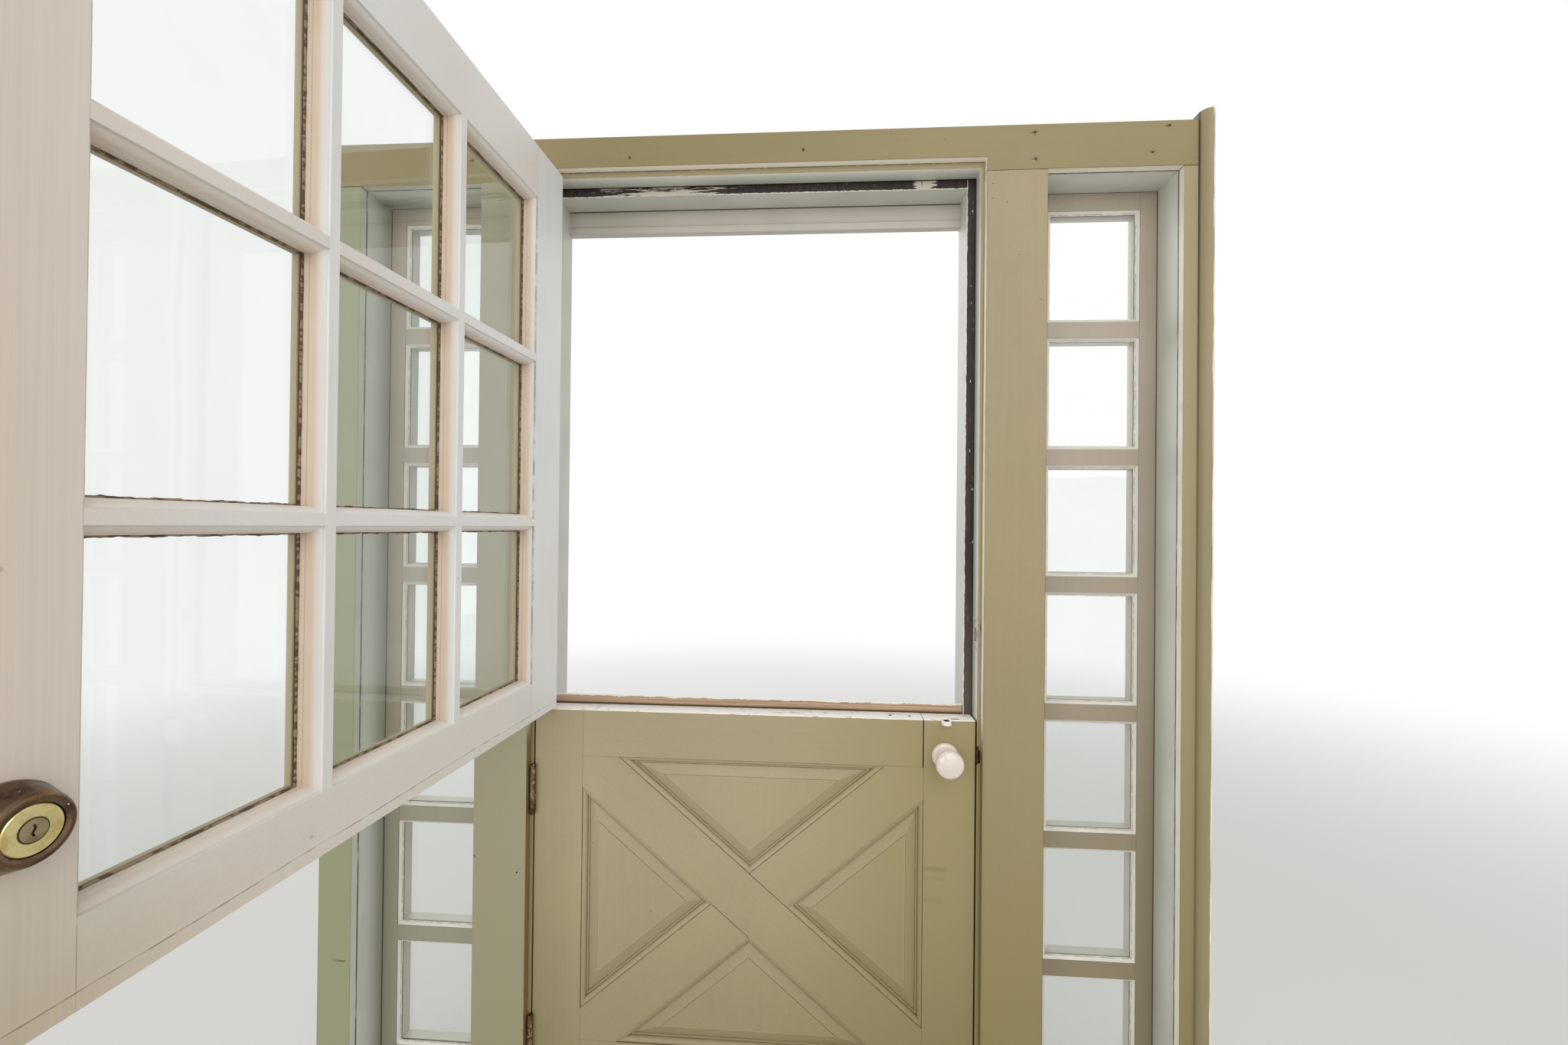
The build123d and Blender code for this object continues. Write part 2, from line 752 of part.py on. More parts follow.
def stick_section():
    """Moulded edge round a panel, as (across, depth): ovolo on both faces and the panel's groove."""
    groove = stick_width - panel_groove
    ovolo_end = stick_width - stick_fillet
    far = leaf_thickness
    bulge = (ovolo_end * sin(pi / 4), stick_depth - (stick_depth - stick_quirk) * sin(pi / 4))
    near_arc = ThreePointArc((0, stick_quirk), bulge, (ovolo_end, stick_depth))
    far_arc = ThreePointArc((ovolo_end, far - stick_depth), (bulge[0], far - bulge[1]), (0, far - stick_quirk))
    middle = Polyline((ovolo_end, stick_depth), (stick_width, stick_depth), (stick_width, panel_edge_depth),
                      (groove, panel_edge_depth), (groove, far - panel_edge_depth),
                      (stick_width, far - panel_edge_depth), (stick_width, far - stick_depth),
                      (ovolo_end, far - stick_depth))
    return make_face(near_arc + middle + far_arc + Line((0, far - stick_quirk), (0, stick_quirk)))


def moulded_edge(section, triangle, side):
    """The moulding along one side of a triangle, mitred at both ends."""
    inner = inset(triangle, stick_width + over)
    after = (side + 1) % len(triangle)
    (ax, az), (bx, bz) = triangle[side], triangle[after]
    size = hypot(bx - ax, bz - az)
    across = ((bz - az) / size, 0, -(bx - ax) / size)
    strip = along(section, (ax, 0, az), across, size)
    return strip & slab([triangle[side], triangle[after], inner[after], inner[side]], -over, leaf_thickness + over)


def panel(triangle):
    """Raised panel with a bevelled field on both faces."""
    tongue = inset(triangle, stick_width - panel_groove + panel_play)
    foot = inset(triangle, stick_width + panel_margin)
    field = inset(triangle, stick_width + panel_margin + panel_bevel)
    body = slab(tongue, panel_edge_depth, leaf_thickness - panel_edge_depth)
    shoulder = panel_field_depth + panel_field_step
    for face, edge, crown in ((panel_edge_depth, shoulder, panel_field_depth),
                              (leaf_thickness - panel_edge_depth, leaf_thickness - shoulder,
                               leaf_thickness - panel_field_depth)):
        rings = [Wire.make_polygon([(x, y, z) for x, z in outline]) for outline, y in ((foot, face), (field, edge))]
        body += Solid.make_loft(rings, True)
        body += slab(field, edge, crown)
    return body


def open_joint(x_edge, low, high):
    """Gap at the shoulders of a rail that has shrunk away from its stile. Its tenon is left whole."""
    near = x_edge - rail_shrinkage
    y0 = middle_y - tenon_thickness / 2
    tenon = block(near, x_edge, y0, y0 + tenon_thickness, low + tenon_shoulder, high - tenon_shoulder)
    return block(near, x_edge, -over, leaf_thickness + over, low, high + over) - tenon


def lower_leaf_members():
    """Stiles, rails and braces of the lower leaf, each with its share of the moulding."""
    shapes, triangles = crossbuck()
    section = stick_section()
    edge = {name: [moulded_edge(section, outline, side) for side in range(3)]
            for name, outline in triangles.items()}
    x_edge = half_width - low_stile
    rail_top = low_bottom + low_rail_lower
    rail_low = low_top - low_rail_upper
    plain = {
        "hinge_stile": block(-half_width, -x_edge, 0, leaf_thickness, low_bottom, low_top),
        "lock_stile": block(x_edge, half_width, 0, leaf_thickness, low_bottom, low_top),
        "bottom_rail": block(-x_edge, x_edge, 0, leaf_thickness, low_bottom, rail_top),
        "top_rail": block(-x_edge, x_edge, 0, leaf_thickness, rail_low, low_top),
        "long": slab(shapes["long"], 0, leaf_thickness),
        "upper": slab(shapes["upper"], 0, leaf_thickness),
        "lower": slab(shapes["lower"], 0, leaf_thickness),
    }
    owners = {"top": ("top_rail", "upper", "long"), "right": ("lock_stile", "long", "upper"),
              "bottom": ("bottom_rail", "lower", "long"), "left": ("hinge_stile", "long", "lower")}
    for name, members in owners.items():
        for member, strip in zip(members, edge[name]):
            plain[member] += strip
    plain["top_rail"] -= open_joint(x_edge, rail_low, low_top)
    for name, x in (("hinge_stile", -half_width), ("lock_stile", half_width)):
        plain[name] = eased(plain[name], Axis.Z, leaf_arris, (x, 0, rail_top), (x, leaf_thickness, rail_top))
        plain[name] = eased(plain[name], Axis.X, leaf_arris, (x, 0, low_top))
    plain["top_rail"] = eased(plain["top_rail"], Axis.X, leaf_arris, (0, 0, low_top))
    ends = {"bottom_rail": tenons(x_edge, low_bottom, rail_top), "top_rail": tenons(x_edge, rail_low, low_top)}
    for rail, pair in ends.items():
        for tenon in pair:
            plain["hinge_stile"] -= tenon
            plain["lock_stile"] -= tenon
            plain[rail] += tenon
    return plain, triangles


def weather_lip():
    """Strip on the outside of the lower leaf that laps the foot of the top leaf."""
    reach = half_door - stop_projection - lip_end_gap
    y0 = leaf_thickness
    y1 = leaf_thickness + lip_thickness
    outline = [(y0, low_top - lip_below), (y0, low_top), (y0 + lip_clearance, low_top),
               (y0 + lip_clearance, low_top + lip_above), (y1, low_top + lip_above - lip_slope),
               (y1, low_top - lip_below)]
    face = Face(Wire.make_polygon([(-reach, y, z) for y, z in outline]))
    return Solid.extrude(face, Vector(2 * reach, 0, 0))


# Hinges
def hinge_heights():
    """Heights of the middles of all four hinges."""
    return ([low_bottom + z for z in lower_hinge_centres] + [top_bottom + z for z in top_hinge_centres])


def hinge_half(centre, inner_x, outer_x, turns):
    """One plate of a butt hinge with its share of the knuckles."""
    low = centre - hinge_height / 2
    half = block(inner_x, outer_x, plate_start, plate_reach, low, low + hinge_height)
    pitch = hinge_height / hinge_knuckles
    for n in turns:
        z0 = low + n * pitch + knuckle_gap / 2
        z1 = low + (n + 1) * pitch - knuckle_gap / 2
        half += block(inner_x, outer_x, pin_y, plate_start, z0, z1)
        half += rod((pin_x, pin_y, z0), (pin_x, pin_y, z1), knuckle_radius)
    bore = pin_radius + pin_clearance
    return half - rod((pin_x, pin_y, low - over), (pin_x, pin_y, low + hinge_height + over), bore)


def jamb_hinge(centre):
    """The half that is fixed to the jamb."""
    return hinge_half(centre, -half_door, -half_door - plate_thickness, range(0, hinge_knuckles, 2))


def leaf_hinge(centre):
    """The half that is fixed to the leaf."""
    return hinge_half(centre, -half_width, -half_width + plate_thickness, range(1, hinge_knuckles, 2))


def hinge_pin(centre):
    """Pin with a rounded button at each end, seated on the end knuckles."""
    low = centre - hinge_height / 2 + knuckle_gap / 2
    high = centre + hinge_height / 2 - knuckle_gap / 2
    pin = rod((pin_x, pin_y, low), (pin_x, pin_y, high), pin_radius)
    button = [(0, 0), (pin_tip_base, 0), (pin_tip_crown, pin_tip_edge), (0, pin_tip)]
    pin += turned(button, (pin_x, pin_y, high), (0, 0, 1))
    return pin + turned(button, (pin_x, pin_y, low), (0, 0, -1))


# Deadbolt of the top leaf
def lock_faceplate(height):
    """Plate let into the edge of the lock stile, round a bolt."""
    plate = block(half_width - faceplate_thickness, half_width, middle_y - faceplate_width / 2,
                  middle_y + faceplate_width / 2, height - faceplate_height / 2, height + faceplate_height / 2)
    return fillet(plate.edges().filter_by(Axis.X), faceplate_corner)


def bolt_bar(height, tall, wide, length):
    """Bolt drawn back so that its nose is just inside the faceplate."""
    nose = half_width - running_gap
    return block(nose - length, nose, middle_y - wide / 2, middle_y + wide / 2, height - tall / 2, height + tall / 2)


def bolt_case(height, radius, tall, wide, throw):
    """Tubular case with its faceplate and the channel that the bolt slides in."""
    inner = half_width - case_length - throw
    case = rod((inner, middle_y, height), (half_width - faceplate_thickness, middle_y, height), radius)
    case += lock_faceplate(height)
    play = bolt_play
    channel = block(inner - over, half_width + over, middle_y - wide / 2 - play, middle_y + wide / 2 + play,
                    height - tall / 2 - play, height + tall / 2 + play)
    return case - channel


def case_room(height, radius, throw):
    """Round mortise for a bolt's case, bored in from the edge of the lock stile."""
    inner = half_width - case_length - throw
    return rod((inner, middle_y, height), (half_width, middle_y, height), radius)


def cross_bore(height, radius):
    """Hole through both faces of a lock stile."""
    return rod((lock_x, -over, height), (lock_x, leaf_thickness + over, height), radius)


def deadbolt_collar():
    """Tapered outdoor collar, hollow round the cylinder."""
    bore = ring_radius + running_gap
    outline = [(bore, 0), *collar_outline, (bore, collar_projection - ring_recess)]
    return turned(outline, (lock_x, leaf_thickness, deadbolt_height), (0, 1, 0))


def cylinder_ring():
    """Lock cylinder that reaches from the case to the collar's mouth."""
    face = leaf_thickness + collar_projection - ring_recess
    back = middle_y + deadbolt_case_radius + running_gap
    body = rod((lock_x, back, deadbolt_height), (lock_x, face, deadbolt_height), ring_radius)
    body = chamfer(body.edges().sort_by(Axis.Y)[-1], ring_chamfer)
    return body - rod((lock_x, back - over, deadbolt_height), (lock_x, face + over, deadbolt_height),
                      plug_radius + plug_clearance)


def key_plug():
    """Plug with a zigzag keyway in its face."""
    face = leaf_thickness + collar_projection - ring_recess + plug_proud
    back = middle_y + deadbolt_case_radius + 2 * running_gap
    plug = rod((lock_x, back, deadbolt_height), (lock_x, face, deadbolt_height), plug_radius)
    half, third = keyway_width / 2, keyway_height / 3
    centres = [(0, -1.5 * third), (half, -0.5 * third), (-half, 0.5 * third), (0, 1.5 * third)]
    shape = [(lock_x + x + half, deadbolt_height + z) for x, z in centres]
    shape += [(lock_x + x - half, deadbolt_height + z) for x, z in reversed(centres)]
    return plug - slab(shape, face - keyway_depth, face + over)


def turn_rose():
    """Rose on the room face, round the thumb turn."""
    bore = plug_radius + running_gap
    outline = [(bore, 0), (turn_rose_radius, 0), (turn_rose_radius, turn_rose_edge),
               (turn_rose_radius - turn_rose_bevel, turn_rose_thickness), (bore, turn_rose_thickness)]
    return turned(outline, (lock_x, 0, deadbolt_height), (0, -1, 0))


def thumb_turn():
    """Thumb turn with its shank, which reaches in to the case."""
    tip = -turn_rose_thickness - turn_projection
    shank_end = middle_y - deadbolt_case_radius - running_gap
    shank_tip = -turn_rose_thickness - turn_shank_lap
    shank = rod((lock_x, shank_end, deadbolt_height), (lock_x, shank_tip, deadbolt_height), plug_radius)
    paddle = block(lock_x - turn_width / 2, lock_x + turn_width / 2, tip, -turn_rose_thickness - running_gap,
                   deadbolt_height - turn_length / 2, deadbolt_height + turn_length / 2)
    paddle = fillet(paddle.edges().filter_by(Axis.Y), turn_corner)
    return shank + chamfer(paddle.edges().group_by(Axis.Y)[0], turn_chamfer)


# Latch and knobs of the lower leaf
def latch_bolt():
    """Spring latch, drawn back, with the slant of its nose on the outdoor side."""
    bar = bolt_bar(latch_height, latch_bolt_height, latch_bolt_width, case_length)
    nose = half_width - running_gap
    y1 = middle_y + latch_bolt_width / 2
    root = nose - latch_throw + latch_nose_land
    tip_y = y1 - latch_bolt_width + latch_nose_flat
    slant = [(root, y1), (nose, tip_y), (nose + over, tip_y), (nose + over, y1 + over), (root, y1 + over)]
    face = Face(Wire.make_polygon([(x, y, latch_height - latch_bolt_height) for x, y in slant]))
    return bar - Solid.extrude(face, Vector(0, 0, 2 * latch_bolt_height))


def knob(side):
    """Turned knob with its neck and a dome centred on its axis; side is -1 in the room and 1 outdoors."""
    start = rose_thickness + running_gap
    place = (knob_neck_radius, start + knob_neck)
    outline = Polyline((0, knob_front), (0, start), (knob_neck_radius, start), place)
    for middle, end in (knob_hollow, knob_shoulder, knob_rim):
        outline += ThreePointArc(place, middle, end)
        place = end
    rise = knob_front - place[1]
    dome = (place[0] ** 2 + rise ** 2) / (2 * rise)
    half_turn = asin(place[0] / dome) / 2
    middle = (dome * sin(half_turn), knob_front - dome * (1 - cos(half_turn)))
    outline += ThreePointArc(place, middle, (0, knob_front))
    face_y = 0 if side == LEFT else leaf_thickness
    base = Plane(origin=(lock_x, face_y, latch_height), z_dir=(0, side, 0))
    profile = Plane.XZ * make_face(outline)
    piece = base * revolve(profile, Axis.Z)
    return piece - spindle_bar(0)


def spindle_bar(shorter):
    """Square bar through the leaf that joins both knobs."""
    reach = rose_thickness + running_gap + knob_neck - shorter
    return block(lock_x - spindle / 2, lock_x + spindle / 2, -reach, leaf_thickness + reach,
                 latch_height - spindle / 2, latch_height + spindle / 2)


def knob_rose(side):
    """Rose behind a knob."""
    outline = [(spindle_hole, 0), *rose_outline, (spindle_hole, rose_thickness)]
    face_y = 0 if side == LEFT else leaf_thickness
    return turned(outline, (lock_x, face_y, latch_height), (0, side, 0))


# Bolt that links the leaves
def link_rod():
    """Round bolt with its pull knob, drawn up."""
    low = top_bottom + link_tip_above
    bolt = rod((link_x, link_y, low), (link_x, link_y, low + link_rod_length), link_rod_radius)
    bolt = chamfer(bolt.edges().sort_by(Axis.Z)[0], link_rod_chamfer)
    middle = low + link_rod_length / 2
    tip = link_y - link_rod_radius - link_knob_length
    stem = rod((link_x, link_y, middle), (link_x, tip, middle), link_stem_radius)
    button = rod((link_x, tip + link_knob_thickness, middle), (link_x, tip, middle), link_knob_radius)
    return bolt + stem + chamfer(button.edges(), link_knob_edge)


def link_plate_and_guides():
    """Back plate with the two guides that the bolt slides in."""
    low = top_bottom + link_tip_above
    plate = block(link_x - link_plate_width / 2, link_x + link_plate_width / 2, -link_plate, 0,
                  low - link_plate_edge, low - link_plate_edge + link_plate_height)
    bore = link_rod_radius + link_rod_clearance
    half = bore + link_guide_wall
    ends = (low + link_guide_from_end, low + link_rod_length - link_throw - link_guide_height - running_gap)
    for z in ends:
        strap = rod((link_x, link_y, z), (link_x, link_y, z + link_guide_height), half)
        strap += block(link_x - half, link_x + half, link_y, 0, z, z + link_guide_height)
        plate += strap - block(link_x - half, link_x + half, 0, half, z, z + link_guide_height)
    return plate - rod((link_x, link_y, low - link_plate_edge - over),
                       (link_x, link_y, low + link_plate_height + over), bore)


def keeper_ring():
    """Ring let into the front arris of the lower leaf's top edge."""
    low = low_top + keeper_proud - keeper_height
    ring = rod((link_x, link_y, low), (link_x, link_y, low + keeper_height), keeper_outer_radius)
    ring = chamfer(ring.edges().sort_by(Axis.Z)[-1], keeper_edge)
    return ring - rod((link_x, link_y, low - over), (link_x, link_y, low + keeper_height + over), keeper_inner_radius)


def keeper_seat():
    """The cut in the lock stile that the ring is let into."""
    low = low_top + keeper_proud - keeper_height
    return rod((link_x, link_y, low), (link_x, link_y, low_top + over), keeper_outer_radius)


def write_frame():
    """Everything that stays still."""
    write("sill", make_sill())
    write("door_jambs", door_jamb(LEFT), door_jamb(RIGHT))
    write("door_head_jamb", head_jamb())
    write("mullion_posts", mullion_post(LEFT), mullion_post(RIGHT))
    write("frame_head", frame_head())
    write("side_stops", side_stop(LEFT), side_stop(RIGHT))
    write("head_stop", head_stop())
    write("outer_head_board", outer_head_board())
    write("sidelight_jambs", *sidelight_jambs(LEFT), *sidelight_jambs(RIGHT))
    heads = [block(side * post_edge[side], side * light_edge[side], 0, frame_depth, sidelight_top, frame_top)
             for side in (LEFT, RIGHT)]
    write("sidelight_heads", *heads)
    seats = [on_sill(side * post_edge[side], side * light_edge[side], 0, frame_depth, seat_top)
             for side in (LEFT, RIGHT)]
    write("sidelight_seats", *seats)
    write("post_casing_left", post_casing(LEFT))
    write("post_casing_right", post_casing(RIGHT))
    write("end_casing_left", end_casing(LEFT))
    write("end_casing_right", end_casing(RIGHT))
    write("head_casing", head_casing())
    write("corner_mould", corner_mould())
    deadbolt_strike = strike_plate(deadbolt_height, deadbolt_strike_height, deadbolt_bolt_height, deadbolt_bolt_width)
    write("deadbolt_strike", deadbolt_strike)
    latch_strike = strike_plate(latch_height, latch_strike_height, latch_bolt_height, latch_bolt_width)
    write("latch_strike", latch_strike + strike_tongue())
    write("jamb_hinge_plates", *[jamb_hinge(z) for z in hinge_heights()])
    write("hinge_pins", *[hinge_pin(z) for z in hinge_heights()])


def write_sidelights():
    """Both sidelight sashes."""
    stiles = {side: sash_stiles(side) for side in (LEFT, RIGHT)}
    for name, make in (("sash_rails", sash_rails), ("sash_bars", sash_bars)):
        write(name, *make(LEFT, stiles[LEFT]), *make(RIGHT, stiles[RIGHT]))
    write("sash_stiles", *stiles[LEFT], *stiles[RIGHT])
    write("sash_stops", *sash_stops(LEFT), *sash_stops(RIGHT))
    write("sash_panes", *sash_glass(LEFT), *sash_glass(RIGHT))
    write("sash_beads", *sash_beads(LEFT), *sash_beads(RIGHT))


def write_top_leaf():
    """The glazed leaf and what it carries."""
    hinge_stile, lock_stile = top_stiles()
    rails, ends = top_rails((hinge_stile, lock_stile))
    uprights = upright_bars(rails)
    crosses = cross_bars(uprights)
    crosses = [bar - hinge_stile - lock_stile for bar in crosses]
    middle = (top_bottom + top_top) / 2
    hinge_stile, lock_stile = [
        eased(stile, Axis.Z, leaf_arris, (x, 0, middle), (x, leaf_thickness, middle))
        for stile, x in ((hinge_stile, -half_width), (lock_stile, half_width))]
    for pair in ends:
        hinge_stile -= pair[0]
        lock_stile -= pair[1]
    centres = [top_bottom + z for z in top_hinge_centres]
    for room in hinge_plate_room((-half_width, -half_width + plate_thickness), centres):
        hinge_stile -= room
    case = bolt_case(deadbolt_height, deadbolt_case_radius, deadbolt_bolt_height, deadbolt_bolt_width, deadbolt_throw)
    lock_stile -= case_room(deadbolt_height, deadbolt_case_radius, deadbolt_throw)
    lock_stile -= cross_bore(deadbolt_height, deadbolt_bore_radius) + lock_faceplate(deadbolt_height)
    write("top_hinge_stile", opened(hinge_stile))
    write("top_lock_stile", opened(lock_stile))
    write("top_rails", *[opened(rail) for rail in rails])
    write("top_upright_bars", *[opened(bar) for bar in uprights])
    write("top_cross_bars", *[opened(bar) for bar in crosses])
    write("top_panes", *[opened(pane) for pane in top_glass()])
    write("top_beads", *[opened(bead) for bead in top_beads()])
    write("top_hinge_plates", *[opened(leaf_hinge(z)) for z in centres])
    write("deadbolt_case", opened(case))
    bolt = bolt_bar(deadbolt_height, deadbolt_bolt_height, deadbolt_bolt_width, case_length)
    write("deadbolt_bolt", opened(bolt))
    write("deadbolt_collar", opened(deadbolt_collar()))
    write("deadbolt_cylinder", opened(cylinder_ring()))
    write("key_plug", opened(key_plug()))
    write("turn_rose", opened(turn_rose()))
    write("thumb_turn", opened(thumb_turn()))
    write("link_bolt", opened(link_rod()))
    write("link_bolt_plate", opened(link_plate_and_guides()))


def write_lower_leaf():
    """The crossbuck leaf and what it carries."""
    members, triangles = lower_leaf_members()
    centres = [low_bottom + z for z in lower_hinge_centres]
    for room in hinge_plate_room((-half_width, -half_width + plate_thickness), centres):
        members["hinge_stile"] -= room
    case = bolt_case(latch_height, latch_case_radius, latch_bolt_height, latch_bolt_width, latch_throw)
    members["lock_stile"] -= case_room(latch_height, latch_case_radius, latch_throw)
    members["lock_stile"] -= cross_bore(latch_height, latch_bore_radius) + lock_faceplate(latch_height)
    members["lock_stile"] -= keeper_seat()
    write("lower_hinge_stile", members["hinge_stile"])
    write("lower_lock_stile", members["lock_stile"])
    write("lower_rails", members["bottom_rail"], members["top_rail"])
    write("brace_long", members["long"])
    write("braces_short", members["upper"], members["lower"])
    write("lower_panels", *[panel(outline) for outline in triangles.values()])
    write("weather_lip", weather_lip())
    write("lower_hinge_plates", *[leaf_hinge(z) for z in centres])
    write("latch_case", case - cross_bore(latch_height, spindle_hole))
    write("latch_bolt", latch_bolt())
    write("knob_roses", knob_rose(LEFT), knob_rose(RIGHT))
    write("knobs", knob(LEFT), knob(RIGHT))
    write("knob_spindle", spindle_bar(running_gap))
    write("keeper_ring", keeper_ring())


os.makedirs(PARTS, exist_ok=True)
write_frame()
write_sidelights()
write_top_leaf()
write_lower_leaf()
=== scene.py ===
"""Stable door: paint, bare timber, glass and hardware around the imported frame.

Metres, in the frame of the CAD part: X to the right as seen from the room, +Y outdoors,
+Z up. Sizes named in millimetres are turned into metres where they are used.
"""
from math import atan2, cos, hypot, pi, radians, sin
import bpy
import numpy as np
from mathutils import Matrix


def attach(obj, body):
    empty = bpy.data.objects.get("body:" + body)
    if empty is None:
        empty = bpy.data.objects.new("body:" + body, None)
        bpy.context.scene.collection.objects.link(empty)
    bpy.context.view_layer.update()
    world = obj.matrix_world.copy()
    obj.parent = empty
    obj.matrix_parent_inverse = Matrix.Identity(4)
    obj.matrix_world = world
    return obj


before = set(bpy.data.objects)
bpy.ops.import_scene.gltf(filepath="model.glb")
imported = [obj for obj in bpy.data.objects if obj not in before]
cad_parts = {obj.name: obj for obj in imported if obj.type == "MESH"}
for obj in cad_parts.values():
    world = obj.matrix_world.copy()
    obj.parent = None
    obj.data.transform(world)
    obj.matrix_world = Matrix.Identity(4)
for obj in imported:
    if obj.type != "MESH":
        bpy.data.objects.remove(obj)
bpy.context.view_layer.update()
MM = 0.001

# All in millimetres. Both leaves: half widths of a leaf and its opening, heights, the middle of the
# thickness, the inner edge of the top leaf's stiles, the hinge pins' axis and the swing at rest
LEAF, DOOR = 457.2, 460.2
LOWER_FOOT, LOWER_HEAD, UPPER_FOOT = 43.0, 954.0, 962.0
LEAF_MIDDLE = 22.2
STILE_EDGE = 352.7
PIN = (-458.7, -6.5)
SWUNG = radians(-91.6)
# Lower leaf: half width, foot and head of its panels, half a brace, and how far inwards from a member
# the sticking and the panel's bevel end
PANEL_X = 354.2
PANEL_FOOT, PANEL_HEAD = 262.5, 857.0
BRACE_HALF = 50.0
STICKING, RAISED_EDGE = 12.0, 36.2
# Lock, latch and barrel bolt
LOCK_X = 396.9
DEADBOLT_Z, LATCH_Z = 1126.0, 882.0
LINK_X, LINK_Y = 397.98, -6.5
# Stops, casings and the corner moulding: edges by the openings, room faces and the moulding's far edge
STOP_EDGE, STOP_FACE, HEAD_STOP_EDGE = 442.2, 45.0, 2060.0
CASING_EDGE, CASING_FACE, CASING_JOINT = 467.0, -18.0, 2060.0
MOULD_EDGE = 895.0
# Sidelights: left and right edge of each sash, its stiles' width, and the depths of sash and glass
SIDELIGHTS = ((-846.5, -580.0), (586.0, 846.7))
SASH_STILE = 35.0
SASH_FACE, GLASS_FACE = 78.0, 86.0


# Finishes
class Field:
    """A number that varies over a surface. Python's operators on it add Math nodes."""

    def __init__(self, finish, socket):
        self.finish = finish
        self.socket = socket

    def math(self, operation, *others):
        values = dict(enumerate((self, *others)))
        return self.finish.field("ShaderNodeMath", {"operation": operation}, values)

    def __add__(self, other):
        return self.math("ADD", other)

    def __mul__(self, other):
        return self.math("MULTIPLY", other)

    def __sub__(self, other):
        return self.math("SUBTRACT", other)

    def __neg__(self):
        return self.math("MULTIPLY", -1.0)

    def __rsub__(self, other):
        return (-self).math("ADD", other)

    def __abs__(self):
        return self.math("ABSOLUTE")

    def __pow__(self, other):
        return self.math("POWER", other)

    __radd__ = __add__
    __rmul__ = __mul__

    def least(self, other):
        return self.math("MINIMUM", other)

    def most(self, other):
        return self.math("MAXIMUM", other)

    def rise(self, low, high):
        """0 below low, 1 above high, with a smooth climb between them."""
        values = {"Value": self, "From Min": low, "From Max": high}
        return self.finish.field("ShaderNodeMapRange", {"interpolation_type": "SMOOTHSTEP"}, values)

    def fall(self, low, high):
        """1 below low, 0 above high."""
        return 1.0 - self.rise(low, high)

    def near(self, place, width):
        """1 at a place, falling to 0 at width away from it."""
        return abs(self - place).fall(0.0, width)


